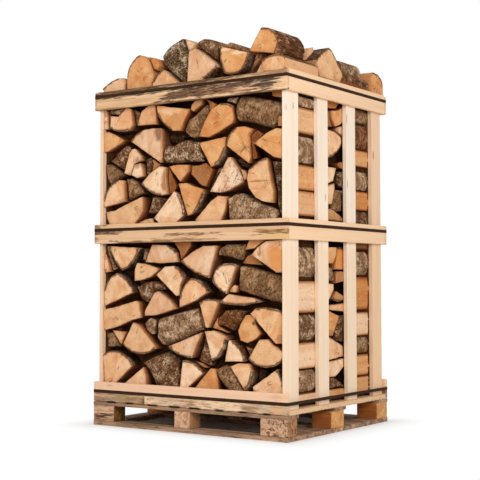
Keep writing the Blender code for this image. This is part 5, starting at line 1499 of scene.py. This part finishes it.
def in_box(tree, at, along, low, high, ragged, strength, rough):
    """Share of a mark: a box (cm) with ragged edges, drawn out along the grain."""
    middle, half = (place(*low) + place(*high)) / 2, (place(*high) - place(*low)) / 2
    gap = add(tree, "VectorMath", {0: at, 1: middle}, operation="SUBTRACT")
    gap = add(tree, "VectorMath", {0: gap}, operation="ABSOLUTE")
    gap = add(tree, "VectorMath", {0: gap, 1: half}, operation="SUBTRACT")
    gap = add(tree, "VectorMath", {0: gap, 1: drawn_out(along, 0.15)}, operation="MULTIPLY")
    parts = add(tree, "SeparateXYZ", {0: gap}).outputs
    far = add(tree, "Math", {0: parts[0], 1: parts[1]}, operation="MAXIMUM")
    far = add(tree, "Math", {0: far, 1: parts[2]}, operation="MAXIMUM")
    far = add(tree, "Math", {0: rough, 1: 6 * ragged * CM, 2: far}, operation="MULTIPLY_ADD")
    soft = 0.1 + 0.3 * ragged
    return add(tree, "MapRange", {
        "Value": far, 1: (3 * ragged - soft) * CM, 2: (3 * ragged + soft) * CM, 3: strength, 4: 0})


def front_marks(table):
    """Marks on boards that face the front, from x, z, colour, strength and raggedness."""
    return [((x0, -3, z0), (x1, 3, z1), *how) for x0, x1, z0, z1, *how in table]


print("a pattern drawn out along x:", drawn_out("X", 0.15))

# %% [markdown]
# ## The material of a sawn board
#
# The saw leaves the fibres torn, so a fresh board is matt and shows its grain softly.  Real grain
# lines lie 2 to 3 mm apart; they are drawn every 7 mm, because finer ones would vanish.  A board
# that stood in the yard is dirty as well: dark patches, and crumbs of soil about a centimetre
# long.  Within a mark, fine streaks 3 mm apart let the wood show through.

# %% Sawn board
GRAIN_MM, BAND_MM, STREAK_MM = 7.14, 31.25, 3.03
GRAIN_PULL, DIRT_PULL = 0.035, 0.12


def yard_dirt(tree, lit, dirt_way, dirt):
    """Patches every 4 cm and crumbs every centimetre."""
    patch = add(tree, "TexNoise", {"Vector": dirt_way, "Scale": every(41.7), "Detail": 4})
    shade = add(tree, "MapRange", {"Value": patch, 1: 0.38, 2: 0.62, 3: 1 - 0.5 * dirt, 4: 1.15})
    lit = add(tree, "Mix", {0: 1, BELOW: lit, ABOVE: shade}, **MULTIPLY)
    crumb = add(tree, "TexNoise", {
        "Vector": dirt_way, "Scale": every(10), "Detail": 6, "Roughness": 0.8})
    share = add(tree, "MapRange", {"Value": crumb, 1: 0.5, 2: 0.6, 3: 0, 4: dirt})
    return add(tree, "Mix", {0: share, BELOW: lit, ABOVE: paint("#543522")}, **OVER)


def sawn_board(name, light, dark, along, grain_dark=0.35, dirt=0.0, marks=()):
    """Softwood whose grain runs along X, Y or Z."""
    # rough-sawn softwood: torn fibres scatter the light and leave only a faint sheen
    made, tree, shader = start_material(name, 0.75, 0.2)
    at = add(tree, "TexCoord").outputs["Object"]
    long_way = add(tree, "Mapping", {"Vector": at, "Scale": drawn_out(along, GRAIN_PULL)})
    grain = add(tree, "TexNoise", {
        "Vector": long_way, "Scale": every(GRAIN_MM), "Detail": 4, "Distortion": 0.3})
    wide = add(tree, "TexNoise", {
        "Vector": long_way, "Scale": every(BAND_MM), "Detail": 3, "Distortion": 0.5})
    mixed = add(tree, "Math", {0: grain, 1: 0.6, 2: wide}, operation="MULTIPLY_ADD")
    line = add(tree, "MapRange", {"Value": mixed, 1: 0.65, 2: 1, 3: 0, 4: grain_dark})
    lit = add(tree, "Mix", {0: line, BELOW: paint(light), ABOVE: paint(dark)}, **OVER)
    dirt_way = add(tree, "Mapping", {"Vector": at, "Scale": drawn_out(along, DIRT_PULL)})
    rough = add(tree, "TexNoise", {
        "Vector": dirt_way, "Scale": every(13.3), "Detail": 5, "Roughness": 0.7})
    if dirt:
        lit = yard_dirt(tree, lit, dirt_way, dirt)
    fine = add(tree, "TexNoise", {
        "Vector": long_way, "Scale": every(STREAK_MM), "Detail": 3, "Roughness": 0.7})
    streak = add(tree, "MapRange", {"Value": fine, 1: 0.38, 2: 0.52, 3: 0.55, 4: 1})
    for low, high, colour, strength, ragged in marks:
        share = in_box(tree, at, along, low, high, ragged, strength, rough)
        share = add(tree, "Math", {0: share, 1: streak}, operation="MULTIPLY")
        lit = add(tree, "Mix", {0: share, BELOW: lit, ABOVE: paint(colour)}, **OVER)
    relief = add(tree, "Bump", {"Height": grain, "Strength": 0.3, "Distance": 0.001})
    wire(tree, shader, {"Base Color": lit, "Normal": relief})
    return made


print("grain lines every", GRAIN_MM, "mm, drawn out", round(1 / GRAIN_PULL), "times")

# %% [markdown]
# ## Slats
#
# The upright slats are the cleanest boards of the crate, cream spruce with a few small knots.
# Three of them came from pine and are more peach.  On the right side they are a little yellower
# below the middle rail.

# %% Slats
def dress(name, finish):
    """Give a carried-over solid its finish."""
    solid = nodes[name]
    solid.data.materials.clear()
    solid.data.materials.append(finish)


def slat_knot(y, z, length, colour):
    return ((57, y - 0.5, z - length), (59, y + 0.5, z + length), colour, 0.75, 0.15)


SLAT_MARKS = (
    slat_knot(8.7, 158, 1.0, "#9A7A66"), slat_knot(2.6, 156.6, 0.8, "#D98E7C"),
    slat_knot(38.7, 116.3, 1.6, "#A88868"), ((50, -1, 14), (62, 99, 92), "#F0C898", 0.42, 0.5),
    slat_knot(60.3, 158.3, 2.2, "#A98A70"), slat_knot(61, 124.6, 2.0, "#B08E72"),
    slat_knot(89.1, 141.7, 1.6, "#7A4A30"),
)
PINE_SLATS = ("slat_left_1", "slat_left_4", "slat_right_4")
spruce_slat = sawn_board("sawn_spruce_slat", "#F9E7D2", "#EBCFAE", "Z", 0.35, 0.0, SLAT_MARKS)
pine_slat = sawn_board("sawn_pine_slat", "#F2CFAE", "#DDB087", "Z", 0.4, 0.0, SLAT_MARKS)
slats = [name for name in nodes if name.startswith("slat_")]
for name in slats:
    dress(name, pine_slat if name in PINE_SLATS else spruce_slat)
print("slats:", len(slats))

# %% [markdown]
# ## Rails
#
# The front rails were cut from the outside of the tree, so the edges still carry strips of
# brown bark and the dark stain under it.  The side rails are clean, and the rails at the back
# are a shade browner.

# %% Rails
TOP_RAIL_MARKS = (      # x, x, z, z in cm, colour, strength, raggedness
    (-61, 36, 172, 178, "#56391F", 1, 1.5), (30, 61, 172.8, 178, "#7E5836", 0.75, 1.2),
    (-61, -47, 170.1, 172.6, "#3A2616", 0.97, 0.7), (-61, 53, 170.3, 171.2, "#2C1E16", 0.95, 0.5),
    (-61, -59.4, 164, 172, "#4A3420", 0.85, 0.4), (-61, -8, 163.4, 165.3, "#80552E", 0.7, 0.6),
    (-57, -33, 168.9, 169.2, "#A5743F", 0.7, 0.3), (-12, 28, 166.2, 171, "#4A2A18", 1, 1.5),
    (24, 43, 168, 171, "#54392B", 1, 1.2), (24, 42, 165.4, 168, "#9A7050", 0.7, 1.5),
    (40, 52.5, 165, 171, "#3E2C22", 1, 1.2), (-10, 61, 163.4, 165.4, "#6E4826", 0.95, 0.7),
)
MIDDLE_RAIL_MARKS = (
    (-61, -57.5, 102.6, 105, "#7A5434", 0.9, 0.6), (-54.2, -51, 103.4, 105.5, "#5E3A20", 0.9, 0.5),
    (-61, -44, 98.9, 101.2, "#4A2E18", 0.97, 0.8), (-61, -58.8, 94, 100, "#6A4226", 0.9, 0.4),
    (-49.3, -47.7, 95.4, 96.2, "#5E3A24", 0.9, 0.2), (-45.4, -43.9, 95.3, 96.1, "#5E3A24", 0.9, 0.2),
    (-12, 20, 97.6, 98.6, "#7E5430", 0.95, 0.9), (-20, 20, 95, 96.1, "#8A5E36", 0.9, 0.8),
    (48, 61, 94.5, 98, "#DDB470", 0.7, 0.8), (44, 59, 97.4, 99, "#80582C", 0.95, 0.9),
    (-45, -8, 93.5, 95.2, "#6E4828", 0.9, 0.4),
)
BASE_RAIL_MARKS = (
    (-50, -48.6, 20.4, 21.2, "#B88868", 0.7, 0.3), (52, 55, 18, 22, "#D9A682", 0.6, 0.6),
)
side_rail = sawn_board("sawn_spruce_side_rail", "#F6D0AA", "#E6B98C", "Y")
back_rail = sawn_board("sawn_spruce_back_rail", "#E9C399", "#C4935F", "X", 0.5)
top_rail = sawn_board(
    "wany_spruce_rail", "#EBC398", "#C08F60", "X", 0.6, 0.0, front_marks(TOP_RAIL_MARKS))
middle_rail = sawn_board(
    "streaked_spruce_rail", "#E8BF96", "#C4946A", "X", 0.55, 0.0, front_marks(MIDDLE_RAIL_MARKS))
base_rail = sawn_board(
    "sawn_beech_rail", "#F5CBAA", "#DDAA84", "X", 0.3, 0.0, front_marks(BASE_RAIL_MARKS))
for level, finish in (("middle", middle_rail), ("top", top_rail)):
    dress("rail_%s_left" % level, side_rail)
    dress("rail_%s_right" % level, side_rail)
    dress("rail_%s_front" % level, finish)
    dress("rail_%s_back" % level, back_rail)
dress("base_rail_front", base_rail)
dress("base_rail_back", base_rail)
print("marks on the front rails:", len(TOP_RAIL_MARKS + MIDDLE_RAIL_MARKS + BASE_RAIL_MARKS))

# %% [markdown]
# ## Kick boards and pallet boards
#
# The pallet has stood outdoors and is brown and dusty.  Where the kick board doesn't quite meet
# the deck, gaps show as dark dashes; the boards touch in the solids, so the dashes are painted
# shadow.  On the ground board a dark band under the deck is painted shadow, and two pale lines
# along board edges are painted highlights.

# %% Kick boards and pallet boards
GAPS = ((-50.6, -45), (-38, -33.5), (-24, -17.5), (-9.7, -3.4), (3, 9.4), (18.8, 23.4),
        (32.6, 37), (46.6, 50.3))
# painted shadows of the gaps between deck boards, on the kick boards and on the deck edge
KICK_GAP_SHADOWS = [(x0, x1, 12.2, 12.85, "#2A160C", 1.3, 0.1) for x0, x1 in GAPS]
DECK_GAP_SHADOWS = [(x0, x1, 11.85, 12.4, "#2A160C", 1.3, 0.1) for x0, x1 in GAPS]
OLD_KICK_MARKS = [
    (-61, -52, 12, 18, "#A87460", 0.9, 1.2), (-42, -35, 12, 18, "#A28C5C", 0.9, 1),
    (-36.6, -35.8, 12, 18, "#6E5434", 0.9, 0.4), (-33.8, -33, 12, 18, "#6E5434", 0.9, 0.4),
    (-33, -26.4, 12, 18, "#A07C56", 0.9, 1.4), (-27, -25, 12, 18, "#5A4028", 0.9, 0.3),
]
NEW_KICK_MARKS = [
    (52, 58, 13, 17, "#E8AC7E", 0.95, 0.6), (2, 6, 13.4, 16.4, "#8E6038", 0.8, 1),
    (11, 15, 13, 15, "#B89050", 0.8, 0.8), (37, 42.5, 13, 16, "#8E6844", 0.7, 1),
]
DECK_MARKS = [
    (17, 23, 10, 12, "#8C8A50", 0.6, 0.8), (-52, -40, 10, 12, "#9C7468", 0.7, 0.8),
]
DECK_SIDE = ((52, 1, 12.3), (62, 99, 15), "#F0C89C", 0.95, 0.3)
# a painted shadow on the ground board's top under the deck, and two thin painted highlights along board
# edges
GROUND_SHADE_AND_HIGHLIGHTS = (
    ((-50, 6.5, 1.5), (50, 11, 3), "#3A2C24", 0.9, 0.4),
    ((-44, 4.4, 2), (45, 5.2, 3), "#DDBFA4", 1.2, 0.15),
    ((52.6, 9, 2), (53.3, 40, 3), "#D2B090", 1.2, 0.15),
)
old_kick = sawn_board(
    "weathered_spruce_kick_board", "#E6C098", "#A07A54", "X", 0.6, 0.75,
    front_marks(OLD_KICK_MARKS + KICK_GAP_SHADOWS[:3]))
new_kick = sawn_board(
    "dusty_spruce_kick_board", "#F0CFAB", "#B98F6A", "X", 0.5, 0.6,
    front_marks(NEW_KICK_MARKS + KICK_GAP_SHADOWS[2:]))
back_kick = sawn_board("weathered_pine_board", "#BC9474", "#7C5A42", "X", 0.7, 0.8)
ground_board = sawn_board(
    "soiled_shaded_pine_ground_board", "#CCA380", "#7C5A42", "X", 0.7, 0.85, GROUND_SHADE_AND_HIGHLIGHTS)
deck_board = sawn_board(
    "weathered_pine_deck_board", "#C89E7C", "#7E5C42", "X", 0.7, 0.8,
    [DECK_SIDE] + front_marks(DECK_MARKS + DECK_GAP_SHADOWS))
for name, finish in (("kick_board_front_1", old_kick), ("kick_board_front_2", new_kick),
                     ("kick_board_front_3", new_kick), ("kick_board_back", back_kick),
                     ("pallet_base", ground_board), ("pallet_deck", deck_board)):
    dress(name, finish)
print("dark gaps under the kick board:", len(GAPS))

# %% [markdown]
# ## Blocks
#
# Most pallet blocks are pressed from wood chips and glue: flakes of about a centimetre in many
# browns, with dark cracks between them.  A Voronoi pattern parts a surface into just such cells.
# Three blocks are sawn pine and one is weathered.  The faces that look along one axis are
# multiplied by a dull colour, a painted shade on that side of each block.

# %% Blocks
FLAKE_MM, CRACK_MM = 9.1, 18.2


def painted_side_shade(tree, lit, axis, colour):
    """Multiply the faces that look along one axis by a colour: painted shade on that side."""
    facing = add(tree, "NewGeometry").outputs["True Normal"]
    facing = add(tree, "SeparateXYZ", {0: facing}).outputs[axis]
    facing = add(tree, "Math", {0: facing}, operation="ABSOLUTE")
    return add(tree, "Mix", {0: facing, BELOW: lit, ABOVE: paint(colour)}, **MULTIPLY)


def pressed_chips(name, light, dark, amount):
    """Chips and glue under pressure: flakes of many browns, hardly any gloss."""
    made, tree, shader = start_material(name, 0.9, 0.15)
    at = add(tree, "TexCoord").outputs["Object"]
    flakes = add(tree, "TexVoronoi", {"Vector": at, "Scale": every(FLAKE_MM), "Randomness": 1})
    shade = add(tree, "SeparateColor", {0: flakes.outputs["Color"]})
    shade = add(tree, "MapRange", {"Value": shade, 1: 0, 2: 1, 3: 0.86, 4: 1.08})
    lit = add(tree, "Mix", {0: 1, BELOW: paint(light), ABOVE: shade}, **MULTIPLY)
    crumb = add(tree, "TexNoise", {
        "Vector": at, "Scale": every(CRACK_MM), "Detail": 6, "Roughness": 0.75, "Distortion": 0.8})
    share = add(tree, "MapRange", {"Value": crumb, 1: 0.51, 2: 0.58, 3: 0, 4: amount})
    lit = add(tree, "Mix", {0: share, BELOW: lit, ABOVE: paint(dark)}, **OVER)
    # painted shade on the faces that look along x
    lit = painted_side_shade(tree, lit, 0, "#D3C4AC")
    relief = add(tree, "Bump", {"Height": flakes, "Strength": 0.5, "Distance": 0.002})
    wire(tree, shader, {"Base Color": lit, "Normal": relief})
    return made


WEATHERED_BLOCK_MARKS = (
    (-57, -53, 4.2, 5.2, "#3E2416", 1.2, 0.6), (-54, -49, 5.2, 6.2, "#3E2416", 1.2, 0.6),
    (-58, -56.6, 3, 8, "#5A3A26", 0.8, 0.8),
)
rough_chips = pressed_chips("pressed_chip_block", "#D2A886", "#5E3C2A", 0.9)
fine_chips = pressed_chips("fine_pressed_chip_block", "#DEB08C", "#85583A", 0.65)
pine_block = sawn_board("sawn_pine_block", "#E0A566", "#B07A46", "X", 0.6, 0.3)
weathered_block = sawn_board(
    "weathered_pine_block", "#E8BA96", "#93684A", "X", 0.7, 0.7, front_marks(WEATHERED_BLOCK_MARKS))
# painted shade on the front and back faces of the pine blocks and the side faces of the weathered one
for finish, axis, colour in ((pine_block, 1, "#CEA682"), (weathered_block, 0, "#A08A50")):
    tree = finish.node_tree
    shader = tree.nodes["Principled BSDF"]
    lit = shader.inputs["Base Color"].links[0].from_socket
    wire(tree, shader, {"Base Color": painted_side_shade(tree, lit, axis, colour)})
BLOCK_FINISHES = {"block_front_left": weathered_block, "block_front_middle": fine_chips,
                  "block_middle_left": pine_block, "block_middle_right": pine_block,
                  "block_back_right": pine_block}
blocks = [name for name in nodes if name.startswith("block_")]
for name in blocks:
    dress(name, BLOCK_FINISHES.get(name, rough_chips))
print("blocks:", len(blocks))

# %% [markdown]
# ## Bands
#
# The bands are black drawn polyester, pulled tight by a machine.  New they would shine; rubbed by
# rough boards they are dull and scuffed to brown, in patches of a couple of centimetres.

# %% Bands
band, tree, shader = start_material("scuffed_polyester_band", 0.7, 0.06)
at = add(tree, "TexCoord").outputs["Object"]
scuff = add(tree, "TexNoise", {"Vector": at, "Scale": every(16.7), "Detail": 4})
lit = add(tree, "Mix", {0: scuff, BELOW: paint("#26180F"), ABOVE: paint("#483020")}, **OVER)
wire(tree, shader, {"Base Color": lit})
bands = [name for name in nodes if name.startswith("strap_")]
for name in bands:
    dress(name, band)
print("bands:", len(bands))

# %% [markdown]
# ## Floor
#
# The crate stands on a pale studio floor.  Near the crate the floor is plain paint and takes its
# shadow; farther away it turns into an even white, as in a studio where floor and wall run into
# one another.  Only what the camera and mirrors see turns white, never the light on the crate.

# %% Floor
FADE = 0.2              # metres over which the floor turns white
FLOOR_HALF = 30         # metres, far out of sight
floor_material, tree, shader = start_material("matt_studio_paint", 0.9, 0.1)
wire(tree, shader, {"Base Color": paint("#F4F2EF")})
at = add(tree, "TexCoord").outputs["Object"]
away = add(tree, "VectorMath", {0: at}, operation="ABSOLUTE")
away = add(tree, "VectorMath", {0: away, 1: (0.6, 0.5, 9)}, operation="SUBTRACT")
away = add(tree, "VectorMath", {0: away, 1: (0, 0, 0)}, operation="MAXIMUM")
away = add(tree, "VectorMath", {0: away}, operation="LENGTH")
away = add(tree, "MapRange", {"Value": away, 1: 0, 2: FADE, 3: 0, 4: 1})
away = add(tree, "Math", {0: away, 1: 0.33}, operation="POWER")
rays = add(tree, "LightPath").outputs
glow = add(tree, "Emission", {"Color": paint("#FFFFFF"), "Strength": 1})
seen = add(tree, "Math", {0: rays["Is Camera Ray"], 1: rays["Is Glossy Ray"]}, operation="MAXIMUM")
seen = add(tree, "Math", {0: seen, 1: away}, operation="MULTIPLY")
blend = add(tree, "MixShader", {0: seen, 1: shader, 2: glow})
wire(tree, tree.nodes["Material Output"], {0: blend})
shape = bmesh.new()
bmesh.ops.create_grid(shape, x_segments=2, y_segments=2, size=FLOOR_HALF)
floor_mesh = bpy.data.meshes.new("floor")
shape.to_mesh(floor_mesh)
shape.free()
floor_mesh.materials.append(floor_material)
floor = bpy.data.objects.new("floor", floor_mesh)
floor.location.z = -0.0005
link(floor)
print("floor:", 2 * FLOOR_HALF, "m wide")

# %% [markdown]
# ## Light
#
# A white sky would light the gaps between the logs as much as their ends, so it is kept at less
# than half, and two broad lamps do the rest: a weaker one for the front and a strong one for the
# slatted side.  Broad lamps give soft shadows, as a cloudy yard does.

# %% Sky and lamps
SKY_LIGHT = 0.42
world = bpy.data.worlds.new("studio")
bpy.context.scene.world = world
world.use_nodes = True
tree = world.node_tree
rays = add(tree, "LightPath").outputs
seen = add(tree, "Math", {0: rays["Is Camera Ray"], 1: rays["Is Glossy Ray"]}, operation="MAXIMUM")
seen = add(tree, "Math", {0: seen, 1: rays["Is Transmission Ray"]}, operation="MAXIMUM")
level = add(tree, "MapRange", {"Value": seen, 1: 0, 2: 1, 3: SKY_LIGHT, 4: 1})
wire(tree, tree.nodes["Background"], {"Color": paint("#FFFFFF"), "Strength": level})


def lamp(name, at, power):
    """A square lamp that looks at the middle of the crate."""
    light = bpy.data.lights.new(name, "AREA")
    light.shape = "SQUARE"
    light.size = 2.8
    light.energy = power
    made = bpy.data.objects.new(name, light)
    made.location = at
    made.rotation_euler = (Vector((0, 0, 0.9)) - Vector(at)).to_track_quat("-Z", "Y").to_euler()
    link(made)
    print(name, power, "W")


lamp("front_lamp", (-2.2, -5.3, 3.2), 88)
lamp("side_lamp", (5.4, -3.7, 3.0), 240)

# %% [markdown]
# ## Camera
#
# The camera looks at the front corner from low down and six metres away, with a long lens, so
# that the upright slats hardly lean together.

# %% Camera
camera = bpy.data.cameras.new("camera")
camera.sensor_width = 36.0
camera.lens = 84.67
eye = bpy.data.objects.new("camera", camera)
eye.location = (3.41277, -4.94592, 0.74353)
eye.rotation_euler = (math.radians(92.138), 0.0, math.radians(34.717))
link(eye)
bpy.context.scene.camera = eye
bpy.context.scene.view_settings.view_transform = "Standard"
print("camera", round(eye.location.length, 2), "m away")
